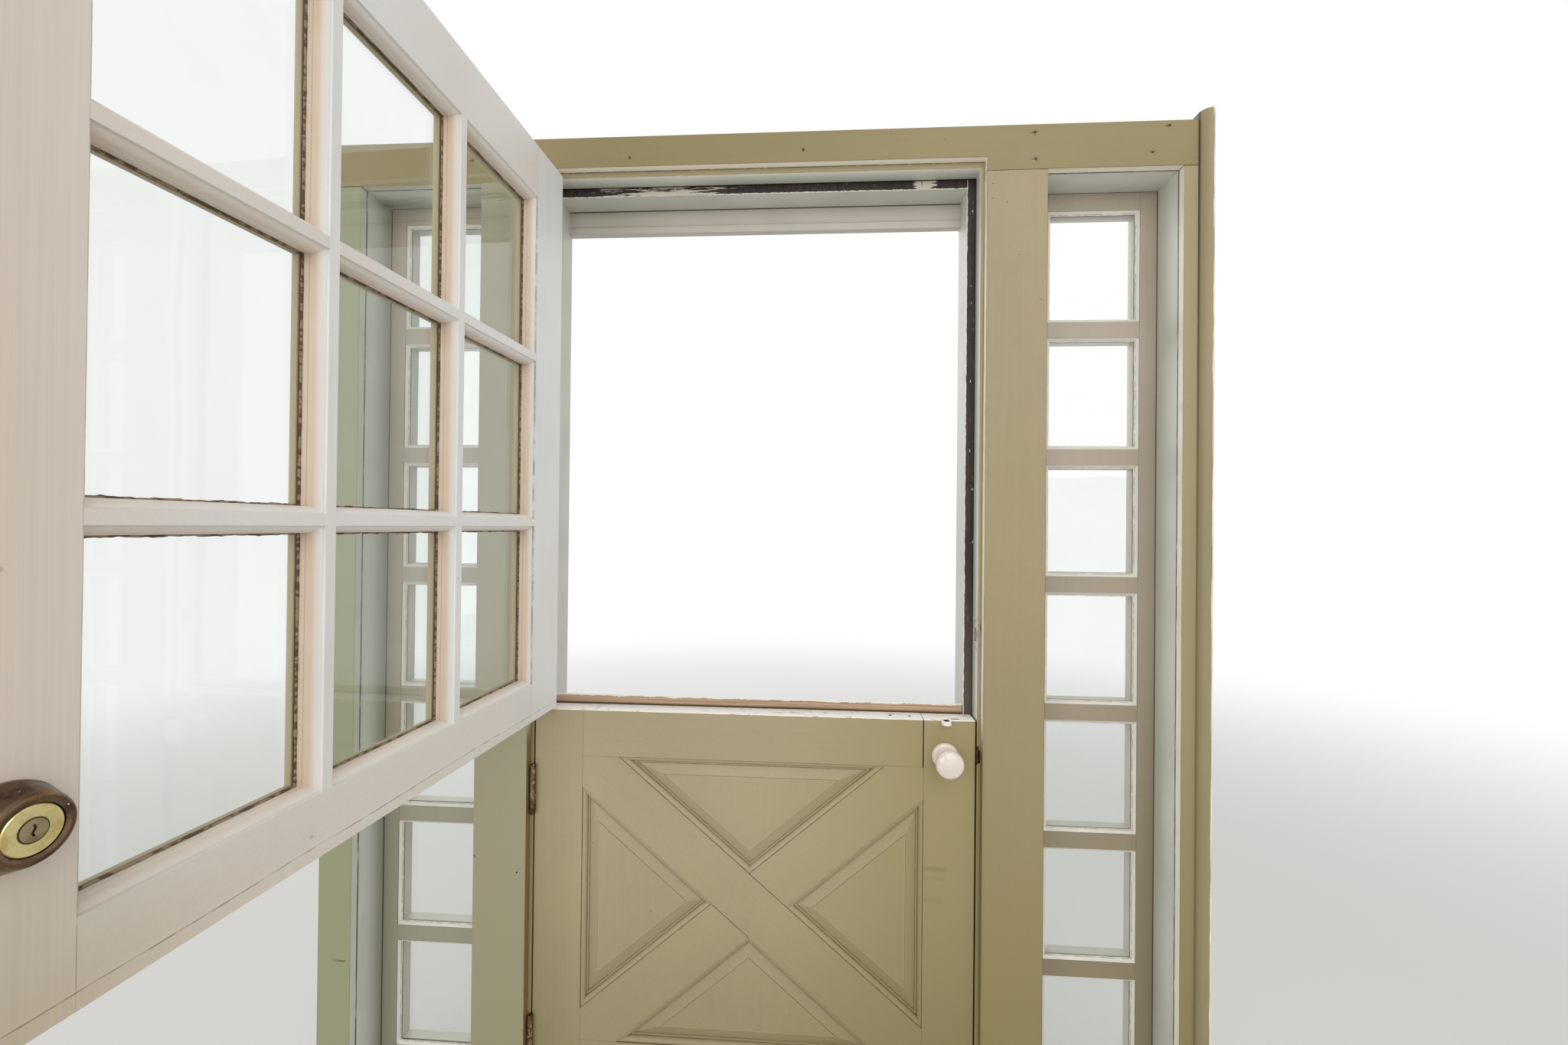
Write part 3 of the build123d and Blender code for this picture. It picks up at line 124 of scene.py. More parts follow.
class Finish:
    """One material. Lengths in it are millimetres, read from the piece's own coordinates."""

    def __init__(self, name, colour, rough=0.45, metal=0.0, coat=0.0, specular=0.5):
        self.material = bpy.data.materials.new(name)
        self.material.use_nodes = True
        self.tree = self.material.node_tree
        self.shader = self.tree.nodes["Principled BSDF"]
        for key, value in (("Metallic", metal), ("Coat Weight", coat), ("Coat Roughness", 0.06),
                           ("Specular IOR Level", specular)):
            self.feed(self.shader, key, value)
        self.place = self.add("ShaderNodeTexCoord").outputs["Object"]
        parts = self.add("ShaderNodeSeparateXYZ", {}, {0: self.place}).outputs
        self.x, self.y, self.z = (Field(self, part) * 1000.0 for part in parts)
        self.colour = colour
        self.rough = rough
        self.height = None

    def feed(self, node, key, value):
        """Links a field or another node's output to a node's socket, or sets a plain value there."""
        value = value.socket if isinstance(value, Field) else value
        if isinstance(value, bpy.types.NodeSocket):
            self.tree.links.new(value, node.inputs[key])
        else:
            node.inputs[key].default_value = value

    def add(self, kind, settings=None, values=None):
        """A node of a kind: its settings first, then the values or links of its sockets."""
        node = self.tree.nodes.new(kind)
        for key, setting in (settings or {}).items():
            setattr(node, key, setting)
        for key, value in (values or {}).items():
            self.feed(node, key, value)
        return node

    def field(self, kind, settings=None, values=None, output=0):
        """A node's output as a number that varies over the surface."""
        return Field(self, self.add(kind, settings, values).outputs[output])

    def spread(self, size, turn, seed):
        """The piece's coordinates turned about Y and divided by a size in millimetres on each axis."""
        values = {"Vector": self.place, "Location": (seed * 0.37, seed * 0.53, seed * 0.71),
                  "Rotation": (0.0, turn, 0.0), "Scale": tuple(part * MM for part in size)}
        return self.add("ShaderNodeMapping", {"vector_type": "TEXTURE"}, values).outputs[0]

    def noise(self, size, turn=0.0, seed=0.0, detail=3.0, rough=0.5):
        """Cloudy noise about 0.5, with lumps of a size in millimetres along each axis."""
        size = size if isinstance(size, tuple) else (size, size, size)
        values = {"Vector": self.spread(size, turn, seed), "Scale": 1.0, "Detail": detail,
                  "Roughness": rough}
        return self.field("ShaderNodeTexNoise", {}, values)

    def cells(self, size, seed):
        """Distance to the nearest of scattered points, in cells of a size in millimetres."""
        values = {"Vector": self.spread((size, size, size), 0.0, seed), "Scale": 1.0}
        return self.field("ShaderNodeTexVoronoi", {"feature": "F1"}, values)

    def blend(self, share, first, second):
        """A mix of two colours."""
        values = {0: share, 6: self.rgba(first), 7: self.rgba(second)}
        return self.add("ShaderNodeMix", {"data_type": "RGBA"}, values).outputs[2]

    def rgba(self, colour):
        """A plain colour with its alpha. A colour that varies stays as it is."""
        return (*colour, 1.0) if isinstance(colour, tuple) else colour

    def coat(self, share, colour=None, rough=None, height=None):
        """Lays another colour, gloss and thickness in millimetres over the finish where share is 1."""
        if colour is not None:
            self.colour = self.blend(share, self.colour, colour)
        if rough is not None:
            self.rough = share * (rough - self.rough) + self.rough
        if height is not None:
            self.raise_by(share * height)
        return self

    def raise_by(self, height):
        """Adds to the height in millimetres that the bump follows."""
        self.height = height if self.height is None else self.height + height
        return self

    def wobble(self, colour, amount, size=260.0, seed=0.0):
        """Slow light and dark drift of a colour: darker and lighter by a share."""
        cloud = self.noise(size, seed=seed, detail=2.0).rise(0.3, 0.7)
        low = tuple(part * (1.0 - amount) for part in colour)
        high = tuple(min(1.0, part * (1.0 + amount)) for part in colour)
        return self.blend(cloud, low, high)

    def brushed(self, turn, seed, depth=0.035):
        """Brush strokes and raised grain along a direction: noise drawn out along it."""
        length, width = 140.0, 1.3
        strokes = self.noise((length, width, width), turn, seed, detail=2.0)
        grain = self.noise((length * 2.4, width * 2.6, width * 2.6), turn, seed + 3.1, detail=3.0, rough=0.6)
        lumps = self.noise(7.0, turn, seed + 5.7, detail=2.0)
        self.raise_by(strokes * depth + grain * (depth * 1.4) + lumps * (depth * 0.8))
        shade = (strokes * 0.4 + grain * 0.6).rise(0.32, 0.68)
        self.colour = self.shaded(self.colour, shade, 0.022)
        return self

    def shaded(self, colour, field, amount):
        """A colour made darker where field is 0 and lighter where it is 1."""
        factor = field * (2.0 * amount) + (1.0 - amount)
        values = {0: 1.0, 6: self.rgba(colour), 7: self.grey(factor)}
        return self.add("ShaderNodeMix", {"data_type": "RGBA", "blend_type": "MULTIPLY"}, values).outputs[2]

    def dim(self, share, amount):
        """Darkens the finish by an amount where share is 1, and its blue by a third more."""
        factor = 1.0 - share * amount
        blue = 1.0 - share * (amount * 1.35)
        tint = self.add("ShaderNodeCombineXYZ", {}, {0: factor, 1: factor, 2: blue})
        values = {0: 1.0, 6: self.rgba(self.colour), 7: tint.outputs[0]}
        mixed = self.add("ShaderNodeMix", {"data_type": "RGBA", "blend_type": "MULTIPLY"}, values)
        self.colour = mixed.outputs[2]
        return self

    def grey(self, field):
        """A number that varies as a grey."""
        return self.add("ShaderNodeCombineXYZ", {}, {0: field, 1: field, 2: field}).outputs[0]

    def specks(self, size, seed, share=0.08):
        """Scattered round specks, 1 inside each: a few cells of those of a size have one."""
        cell = self.cells(size, seed)
        pick = self.noise(size * 2.3, seed=seed + 9.0, detail=1.0).rise(0.62, 0.66)
        return cell.fall(share * 0.8, share * 1.5) * pick

    def done(self):
        """Links the colour, gloss and height to the shader."""
        self.feed(self.shader, "Base Color", self.rgba(self.colour))
        self.feed(self.shader, "Roughness", self.rough)
        if self.height is not None:
            bump = self.add("ShaderNodeBump", {}, {"Height": self.height, "Distance": MM, "Strength": 1.0})
            self.feed(self.shader, "Normal", bump.outputs[0])
        return self.material


def tone(red, green, blue):
    """A colour as seen on a screen, 0 to 255, made linear: ((c + 0.055) / 1.055) to the power 2.4."""
    parts = []
    for part in (red, green, blue):
        part /= 255.0
        parts.append(part / 12.92 if part <= 0.04045 else ((part + 0.055) / 1.055) ** 2.4)
    return tuple(parts)


OLIVE = tone(174, 161, 127)
OLIVE_LOCK = tone(159, 146, 104)
CASING = tone(161, 147, 111)
CASING_LOW = tone(142, 129, 84)
HEAD_CASING = tone(143, 129, 87)
SAGE = tone(160, 163, 138)
MINT = tone(216, 219, 210)
OUTDOOR = tone(233, 234, 233)
ROSY = tone(223, 204, 184)
TAN = tone(208, 182, 154)
TAUPE = tone(176, 164, 148)
# Dark brown used both for dirt and for painted shade in grooves and corners.
GRIME_AND_SHADE = tone(74, 62, 40)
DARK = tone(38, 30, 24)
CHIP = tone(238, 236, 228)
CREAM = tone(248, 240, 224)
BARE_BACK = tone(186, 158, 122)
REDWOOD = tone(120, 72, 48)
UP = radians(90.0)
BRACE_TURN = atan2(PANEL_HEAD - PANEL_FOOT, 2 * PANEL_X)


def edge_distance(finish):
    """Distance inwards from the nearest member of the lower leaf: the least of the distances to both
    braces, which are the distance from a brace's middle line less half its width, and to the stiles
    and rails. Also the distances to the stiles and to the rails, and the butts of the short braces."""
    half = (PANEL_HEAD - PANEL_FOOT) / 2
    middle = (PANEL_HEAD + PANEL_FOOT) / 2
    slant = hypot(PANEL_X, half)
    across = finish.x * (half / slant)
    upward = (finish.z - middle) * (PANEL_X / slant)
    falling, rising = abs(across + upward), abs(across - upward)
    braces = falling.least(rising) - BRACE_HALF
    sides = PANEL_X - abs(finish.x)
    ends = half - abs(finish.z - middle)
    butt = (falling - BRACE_HALF - 0.4).near(0.0, 1.0) * rising.fall(BRACE_HALF - 0.6, BRACE_HALF)
    return braces.least(sides.least(ends)), sides, ends, butt


def olive_base(finish, turn, seed):
    """The room's olive paint: slow drift of tone, brush strokes, fine mottling and dust."""
    finish.colour = finish.wobble(finish.colour, 0.035, 330.0, seed)
    mottled = finish.noise(3.2, seed=seed + 6.0, detail=2.0) * 0.6
    mottled = mottled + finish.noise(11.0, seed=seed + 7.0) * 0.4
    finish.colour = finish.shaded(finish.colour, mottled.rise(0.35, 0.65), 0.018)
    finish.brushed(turn, seed)
    finish.rough = finish.noise(60.0, seed=seed + 4.0) * 0.16 + 0.36
    finish.coat(finish.specks(22.0, seed + 1.0, 0.05) * 0.55, GRIME_AND_SHADE)
    return finish


def outdoor_base(finish, seed):
    """The weather side's off-white paint, warmer in places."""
    colour = finish.wobble(OUTDOOR, 0.035, 300.0, seed + 11.0)
    warm = finish.noise(500.0, seed=seed + 12.0, detail=1.0).rise(0.35, 0.8) * 0.35
    return finish.blend(warm, colour, ROSY)


def lower_member(name, turn, seed):
    """A stile, rail, brace or panel of the lower leaf: olive in the room, off-white outdoors, with thin
    dark lines along the mouldings, which are dirt and painted shade in their grooves, pale lines which are
    painted highlights on their edges, and cracks where the members meet."""
    finish = olive_base(Finish(name, OLIVE), turn, seed)
    finish.coat(finish.x.rise(0.0, 420.0), OLIVE_LOCK)
    finish.dim(finish.z.fall(100.0, 800.0), 0.26)
    finish.dim(finish.x.fall(-430.0, -330.0), 0.15)
    inward, sides, ends, butt = edge_distance(finish)
    broken = finish.noise(26.0, seed=seed + 6.0, detail=4.0).rise(0.3, 0.6) * 0.45 + 0.55
    # Thin dark lines at the grooves of the sticking and by the raised field: dirt and painted shade.
    lines = inward.near(0.3, 1.0) * 0.8
    for place, width, depth in ((STICKING - 2.2, 1.0, 0.9), (STICKING + 1.6, 1.1, 0.95),
                                (RAISED_EDGE - 1.6, 0.8, 0.5)):
        lines = lines.most(inward.near(place, width) * depth)
    finish.coat(lines * broken, GRIME_AND_SHADE)
    # Pale lines on the sticking's edge and on the field's arris: painted highlights.
    pale = inward.near(STICKING - 0.4, 0.9).most(inward.near(RAISED_EDGE, 0.9) * 0.7)
    finish.coat(pale * broken * 0.45, tone(202, 190, 152))
    cracks = sides.near(0.0, 0.6).most(ends.near(0.0, 0.55) * sides.rise(-1.0, 0.0))
    finish.coat(cracks * broken * 0.85, GRIME_AND_SHADE, height=-0.12)
    # Painted shade: the open gap between the top rail and the lock stile is coloured near black inside; the
    # butts of the short braces are dark joints.
    rail_gap_shade = sides.rise(-0.5, -0.2) * sides.fall(1.8, 2.1) * finish.x.rise(0.0, 1.0)
    rail_gap_shade = rail_gap_shade * finish.z.rise(PANEL_HEAD - 1.0, PANEL_HEAD)
    finish.coat(rail_gap_shade.most(butt * 0.9), DARK, rough=0.9)
    wavy = finish.y + (finish.noise(40.0, seed=8.0) - 0.5) * 0.6
    finish.coat(wavy.rise(LEAF_MIDDLE - 0.3, LEAF_MIDDLE + 0.3), outdoor_base(finish, seed))
    # Painted shade: the leaf's side edges by the room face are darkened where they stand in the narrow gap
    # to the jambs.
    leaf_edge_shade = abs(finish.x).rise(LEAF - 0.5, LEAF - 0.1) * finish.y.fall(8.0, 16.0)
    finish.coat(leaf_edge_shade * 0.7, tone(66, 54, 38))
    ledge = finish.z + (finish.noise((26.0, 9.0, 9.0), seed=2.0, detail=4.0) - 0.5) * 1.6
    bare = finish.noise((26.0, 12.0, 12.0), seed=7.0, detail=5.0, rough=0.65).rise(0.6, 0.64)
    bare = bare.most(finish.x.fall(-452.0, -425.0))
    white = finish.blend(bare * 0.7, tone(252, 250, 244), OLIVE)
    finish.coat(ledge.rise(LOWER_HEAD - 1.5, LOWER_HEAD - 1.1), white)
    dots = finish.specks(13.0, 4.0, 0.07) * finish.z.rise(LOWER_HEAD - 0.8, LOWER_HEAD - 0.3)
    finish.coat(dots, DARK, height=-0.2)
    # The keeper's hole and a slot in the ledge top are painted near black as the shade inside them.
    hole = spots(finish, [(LINK_X, LINK_Y)], 10.4, "xy") * finish.z.rise(944.0, 945.0)
    slot = (finish.x - 418.0).near(0.0, 9.0).rise(0.0, 0.15)
    slot = slot * (finish.y - 9.0).near(0.0, 3.2).rise(0.0, 0.3)
    finish.coat(hole.most(slot * finish.z.rise(952.0, 953.0)), DARK, rough=0.9)
    foot = finish.z.near(LOWER_FOOT, 26.0) * finish.noise(18.0, seed=3.0, detail=4.0).rise(0.45, 0.75)
    finish.coat(foot * 0.6, GRIME_AND_SHADE)
    return finish


def leaf_depth(finish):
    """Depth into the open top leaf from its room face: the point's offset from the pin turned back by
    the swing. Also the way along the leaf from its middle."""
    across, back = finish.x - PIN[0], finish.y - PIN[1]
    depth = across * -sin(SWUNG) + back * cos(SWUNG) + PIN[1]
    along = across * cos(SWUNG) + back * sin(SWUNG) + PIN[0]
    return depth, along


def upper_member(name, turn, seed):
    """A stile, rail or bar of the top leaf: off-white outdoors, tan reveals by the glass and olive in the
    room. Also the way along the leaf from its middle."""
    finish = Finish(name, OUTDOOR)
    depth, along = leaf_depth(finish)
    finish.colour = outdoor_base(finish, seed)
    rosy = along.rise(180.0, 460.0) * 0.75
    low_down = finish.z.fall(UPPER_FOOT, UPPER_FOOT + 150.0)
    rosy = rosy.most(low_down * along.rise(-60.0, 420.0) * 0.8)
    finish.coat(rosy, ROSY)
    finish.brushed(turn, seed, depth=0.045)
    finish.rough = finish.noise(50.0, seed=seed + 4.0) * 0.14 + 0.36
    reveal = depth.rise(17.0, 20.0) * depth.fall(33.0, 41.5)
    strength = 0.45 if turn == 0.0 else 1.0
    finish.coat(reveal * (finish.noise(35.0, seed=seed + 1.0) * 0.3 + 0.7) * strength, TAN)
    finish.coat(depth.near(26.6, 1.0) * 0.35, GRIME_AND_SHADE)
    finish.dim(finish.z.fall(990.0, 1160.0) * along.rise(200.0, 440.0), 0.24)
    room = (depth + (finish.noise(40.0, seed=8.0) - 0.5) * 0.6).fall(17.6, 18.4)
    finish.coat(room, finish.wobble(OLIVE, 0.05, 300.0, seed))
    finish.coat(finish.specks(24.0, seed + 2.0) * 0.35, GRIME_AND_SHADE)
    # A raised ridge along the foot with a torn dark line under it: chipped paint and the ridge's painted
    # shade.
    wavy = finish.z + (finish.noise((160.0, 160.0, 40.0), seed=4.0) - 0.5) * 5.0
    finish.raise_by(wavy.near(UPPER_FOOT + 16.0, 2.2) * 0.35)
    torn = finish.noise(22.0, seed=6.0, detail=4.0).rise(0.35, 0.6)
    finish.coat(wavy.near(UPPER_FOOT + 14.6, 0.9) * torn * 0.75, GRIME_AND_SHADE, height=-0.1)
    return finish, along


def cracked(finish, distance, seed, strength, width):
    """A thin dark crack that breaks off and starts again along a line."""
    broken = finish.noise(26.0, seed=seed, detail=4.0).rise(0.34, 0.6)
    finish.coat(distance.near(0.0, width) * (broken * 0.75 + 0.25) * strength, GRIME_AND_SHADE, height=-0.1)


def dress(material, *names):
    """Gives CAD nodes a finish."""
    for name in names:
        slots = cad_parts[name].data.materials
        slots.clear()
        slots.append(material)


def timber(name="bare_timber", seed=1.0, turn=UP):
    """Sawn softwood: rings drawn out along the grain, fine pores, pale and dark bands. Its outdoor face
    is painted."""
    finish = Finish(name, tone(202, 174, 136), rough=0.75)
    bands = finish.noise((900.0, 9.0, 9.0), turn, seed, detail=4.0, rough=0.6)
    pores = finish.noise((60.0, 0.8, 0.8), turn, seed + 2.0, detail=2.0)
    finish.colour = finish.blend(bands.rise(0.35, 0.65), finish.colour, tone(176, 144, 106))
    finish.colour = finish.shaded(finish.colour, pores.rise(0.3, 0.7), 0.06)
    finish.raise_by(pores * 0.06 + bands * 0.12)
    finish.coat(finish.y.rise(123.0, 123.5), outdoor_base(finish, seed), rough=0.45)
    return finish.done()


def casing_finish(name, turn, seed, colour=CASING, low=None):
    """Flat casing: olive on its face, pale on the edges that turn into the openings, bare at its back, with
    a dark joint where an edge meets the jamb. Given a height, the edges are olive and dirty below it."""
    finish = olive_base(Finish(name, colour), turn, seed)
    if turn != 0.0:
        finish.coat(finish.z.fall(100.0, 1350.0), CASING_LOW)
    wavy = finish.y + (finish.noise(18.0, seed=seed + 3.0, detail=3.0) - 0.5) * 0.7
    pale = finish.blend(finish.x.rise(-600.0, -500.0), tone(212, 216, 202), CREAM)
    dirty = finish.blend(finish.noise(60.0, seed=seed).rise(0.5, 0.8) * 0.3, pale, tone(186, 180, 156))
    if low is not None:
        dirty = finish.blend(finish.z.fall(low - 70.0, low), dirty, tone(134, 119, 80))
    finish.coat(wavy.rise(CASING_FACE - 0.1, CASING_FACE + 0.5), dirty)
    joint = finish.noise((14.0, 14.0, 60.0), seed=seed + 8.0, detail=3.0).rise(0.25, 0.5)
    finish.coat(finish.y.rise(-2.1, -1.5) * joint, DARK, rough=0.8)
    finish.coat(finish.y.rise(-0.35, -0.15), BARE_BACK, rough=0.75)
    return finish


def spots(finish, places, radius, axes="xz"):
    """1 inside small round places given as pairs of coordinates."""
    first, second = (getattr(finish, axis) for axis in axes)
    inside = None
    for across, upward in places:
        distance = (((first - across) ** 2.0) + ((second - upward) ** 2.0)) ** 0.5
        spot = distance.fall(radius * 0.7, radius)
        inside = spot if inside is None else inside.most(spot)
    return inside


def nail_marks(finish, places):
    """Sunk nail heads on a casing's face, each with a smear, and every other one with a scratch."""
    scratch = 9.0
    holes = spots(finish, places, 2.3)
    finish.coat(spots(finish, places, 6.0) * finish.noise(4.0, detail=3.0).rise(0.42, 0.58) * 0.6, GRIME_AND_SHADE)
    for x, z in places[::2]:
        line = (finish.z - z).near(-0.6, 0.8)
        line = line * (finish.x - x + scratch / 2).near(0.0, scratch * 0.6).rise(0.0, 0.2)
        holes = holes.most(line * 0.8)
    return finish.coat(holes, DARK, rough=0.9, height=-0.7)


def head_scrapes(finish):
    """Pale scrapes on the head stop: noise drawn out along it, left of the middle and by the lock."""
    rub = finish.noise((110.0, 9.0, 7.0), seed=7.0, detail=5.0, rough=0.65)
    place = (finish.x + 235.0).near(0.0, 230.0).most((finish.x - 355.0).near(0.0, 30.0))
    return (rub + place * 0.14).rise(0.59, 0.605) * place.rise(0.0, 0.2)


def stop_finish(name, inner, scrapes=None):
    """A door stop: dark brown on its room face, pale where it turns into the opening. The ragged pale
    edge follows inner, the distance from the turned edge, and chips and old red paint show beyond it."""
    stop = Finish(name, tone(204, 204, 196), rough=0.5)
    stop.colour = stop.wobble(stop.colour, 0.05, 120.0)
    stop.brushed(UP, 3.0)
    torn = stop.noise((9.0, 9.0, 20.0), seed=1.0, detail=5.0, rough=0.65)
    face = stop.y.fall(STOP_FACE + 1.6, STOP_FACE + 2.4)
    brown = stop.blend(stop.noise((4.0, 4.0, 50.0), seed=6.0, detail=3.0).rise(0.4, 0.7), tone(40, 32, 28),
                       tone(62, 50, 42))
    stop.coat(face, brown, rough=0.55)
    stop.coat(face * stop.z.fall(960.0, 1300.0) * 0.6, tone(108, 96, 86))
    ragged = (inner(stop) + (torn - 0.5) * 5.0).fall(1.0, 1.5)
    chips = stop.noise((12.0, 12.0, 30.0), seed=5.0, detail=5.0, rough=0.7).rise(0.66, 0.672)
    stop.coat(face * ragged.most(chips), CHIP, rough=0.5, height=0.2)
    if scrapes is not None:
        stop.coat(face * scrapes(stop), tone(214, 206, 194), rough=0.6)
    fleck = stop.noise((5.0, 5.0, 46.0), seed=9.0, detail=4.0, rough=0.6).rise(0.62, 0.66)
    stop.coat(face * fleck * 0.8, tone(122, 84, 64), rough=0.6)
    return stop.done()


def casing_finishes():
    """Paint of the casings and the corner moulding."""
    head = casing_finish("head_casing_paint", 0.0, 1.0, HEAD_CASING)
    nail_marks(head, [(560.0, 2134.0), (-262.0, 2106.0), (562.0, 2081.0), (98.0, 2112.0), (818.0, 2140.0),
                      (786.0, 2088.0), (-600.0, 2110.0)])
    dress(head.done(), "head_casing")
    right = casing_finish("right_casing_paint", UP, 2.0, low=950.0)
    joint = right.z + (right.noise((40.0, 8.0, 8.0), seed=5.0) - 0.5) * 2.2
    right.coat(joint.rise(CASING_JOINT - 0.4, CASING_JOINT + 0.2), DARK, rough=0.9, height=-0.3)
    dents = [(478.0, 2034.0), (478.0, 2004.0), (506.0, 1996.0), (530.0, 1890.0), (574.0, 1800.0)]
    right.coat(spots(right, dents, 1.6) * 0.7, GRIME_AND_SHADE, height=-0.2)
    rubbed = right.noise((9.0, 9.0, 60.0), seed=3.0).rise(0.45, 0.6)
    right.coat(right.x.near(CASING_EDGE, 5.0) * rubbed * 0.12, GRIME_AND_SHADE)
    dress(right.done(), "post_casing_right")
    left = casing_finish("left_casing_paint", UP, 3.0, low=950.0)
    left.coat(left.y.fall(CASING_FACE - 0.2, CASING_FACE + 0.2) * 0.5, SAGE)
    left.coat(spots(left, [(-576.0, 647.0), (-485.0, 617.0)], 2.2), DARK, rough=0.9, height=-0.4)
    dress(left.done(), "post_casing_left")
    end = casing_finish("end_casing_paint", UP, 4.0)
    face = end.y.fall(CASING_FACE - 0.2, CASING_FACE + 0.2)
    end.coat(end.x.fall(0.0, 1.0) * face * 0.8, tone(152, 158, 126))
    end.coat(end.z.rise(CASING_JOINT - 0.6, CASING_JOINT), DARK, rough=0.9)
    rub = end.noise((70.0, 70.0, 9.0), seed=6.0, detail=4.0).rise(0.5, 0.6)
    scuff = spots(end, [(-868.0, 418.0), (-876.0, 418.0)], 15.0) * rub
    end.coat(scuff * 0.8, tone(112, 88, 52), rough=0.7)
    dress(end.done(), "end_casing_left", "end_casing_right")
    mould = olive_base(Finish("mould_paint", tone(152, 139, 104)), UP, 5.0)
    mould.coat(mould.x.near(MOULD_EDGE - 21.6, 1.6) * (mould.z.rise(1300.0, 2100.0) * 0.6 + 0.25), DARK)
    wavy = mould.x + (mould.noise((20.0, 20.0, 60.0), seed=3.0, detail=4.0) - 0.5) * 4.0
    mould.coat(mould.x.rise(MOULD_EDGE - 0.6, MOULD_EDGE - 0.2), BARE_BACK, rough=0.75)
    edge = wavy.rise(MOULD_EDGE - 3.0, MOULD_EDGE - 2.4)
    mould.coat(edge * mould.y.fall(-34.5, -33.5), CREAM)
    dress(mould.done(), "corner_mould")


def jamb_finishes():
    """Paint of the jambs, the outer head board and the stops."""
    jamb = Finish("jamb_paint", MINT, rough=0.4)
    jamb.colour = jamb.wobble(MINT, 0.03, 200.0)
    jamb.brushed(UP, 2.0)
    drab = jamb.noise((40.0, 40.0, 240.0), seed=4.0, detail=3.0).rise(0.5, 0.8)
    jamb.coat(drab * 0.3, tone(190, 188, 170))
    doorway = abs(jamb.x).fall(CASING_EDGE + 1.0, CASING_EDGE + 2.0)
    behind = jamb.z.fall(LOWER_HEAD - 6.0, LOWER_HEAD + 4.0) * doorway
    # Painted shade: below the lower leaf's head, the reveal in the narrow gap beside the leaf is near black,
    # and olive at its front edge.
    jamb.coat(jamb.y.fall(STOP_FACE - 3.0, STOP_FACE) * behind * 0.95, tone(44, 34, 22), rough=0.7)
    jamb.coat(jamb.y.fall(4.0, 6.5) * behind, tone(150, 136, 92))
    face = (jamb.y + (jamb.noise(14.0, seed=2.0) - 0.5) * 0.9).fall(1.0, 1.6)
    above = doorway * jamb.z.rise(LOWER_HEAD - 4.0, LOWER_HEAD + 6.0)
    jamb.coat(jamb.y.rise(8.0, 34.0) * above * 0.45, SAGE)
    jamb.coat(jamb.y.fall(3.0, 15.0) * above * 0.8, CREAM)
    by_stop = jamb.y.rise(STOP_FACE - 5.5, STOP_FACE - 3.5) * jamb.y.fall(STOP_FACE + 0.5, STOP_FACE + 1.5)
    jamb.coat(by_stop * doorway, DARK)
    strip = jamb.blend(behind, tone(166, 154, 118), tone(152, 139, 94))
    jamb.coat(face * doorway, strip)
    jamb.coat(jamb.y.near(2.2, 0.9) * jamb.noise(30.0, seed=7.0).rise(0.3, 0.5) * 0.75, GRIME_AND_SHADE)
    broken = jamb.noise(34.0, seed=6.0).rise(0.25, 0.45)
    jamb.coat(jamb.y.fall(0.9, 1.6) * (1.0 - doorway) * broken, DARK)
    torn = jamb.noise((9.0, 9.0, 26.0), seed=3.0, detail=4.0, rough=0.65)
    strike_hole = (jamb.z - (LATCH_Z + 4.0) + (torn - 0.5) * 16.0).near(0.0, 21.0).rise(0.0, 0.12)
    strike_hole = strike_hole * jamb.y.fall(9.0, 11.0) * jamb.x.rise(458.0, 460.0)
    jamb.coat(strike_hole * (jamb.x + (torn - 0.5) * 6.0).fall(463.4, 464.0), DARK, rough=0.9)
    bolt_place = spots(jamb, [(20.0, DEADBOLT_Z)], 44.0, "yz")
    bolt_place = bolt_place * jamb.x.rise(455.0, 458.0) * jamb.x.fall(470.0, 480.0)
    jamb.coat(bolt_place * torn.rise(0.56, 0.62), REDWOOD, rough=0.85, height=-0.5)
    aside = abs(jamb.x).rise(480.0, 500.0)
    shade = jamb.y.rise(14.0, 80.0) * aside * (jamb.x.fall(-1.0, 1.0) * 0.4 + 0.25)
    jamb.coat(shade, tone(124, 124, 100))
    deep = jamb.y.rise(SASH_FACE - 2.0, SASH_FACE) * jamb.y.fall(113.0, 124.0)
    jamb.coat(deep * aside * 0.7, GRIME_AND_SHADE)
    jamb.coat(jamb.y.near(SASH_FACE - 1.4, 1.5) * aside, DARK)
    dress(jamb.done(), "door_jambs", "door_head_jamb", "sidelight_jambs", "sidelight_heads")
    outer = Finish("outer_board_paint", tone(194, 188, 178), rough=0.45)
    outer.colour = outer.wobble(outer.colour, 0.05, 180.0)
    outer.brushed(0.0, 6.0)
    # Painted shade: a dark line along the board's top, in the corner under the head stop; the line below it
    # is the joint of a strip.
    outer.coat(outer.z.near(HEAD_STOP_EDGE, 2.2) * 0.9, GRIME_AND_SHADE)
    outer.coat(outer.z.near(HEAD_STOP_EDGE - 36.0, 1.6) * 0.6, GRIME_AND_SHADE)
    dress(outer.done(), "outer_head_board")
    dress(stop_finish("side_stop_paint", lambda finish: abs(finish.x) - STOP_EDGE), "side_stops")
    head = stop_finish("head_stop_paint", lambda finish: finish.z - HEAD_STOP_EDGE, head_scrapes)
    dress(head, "head_stop")


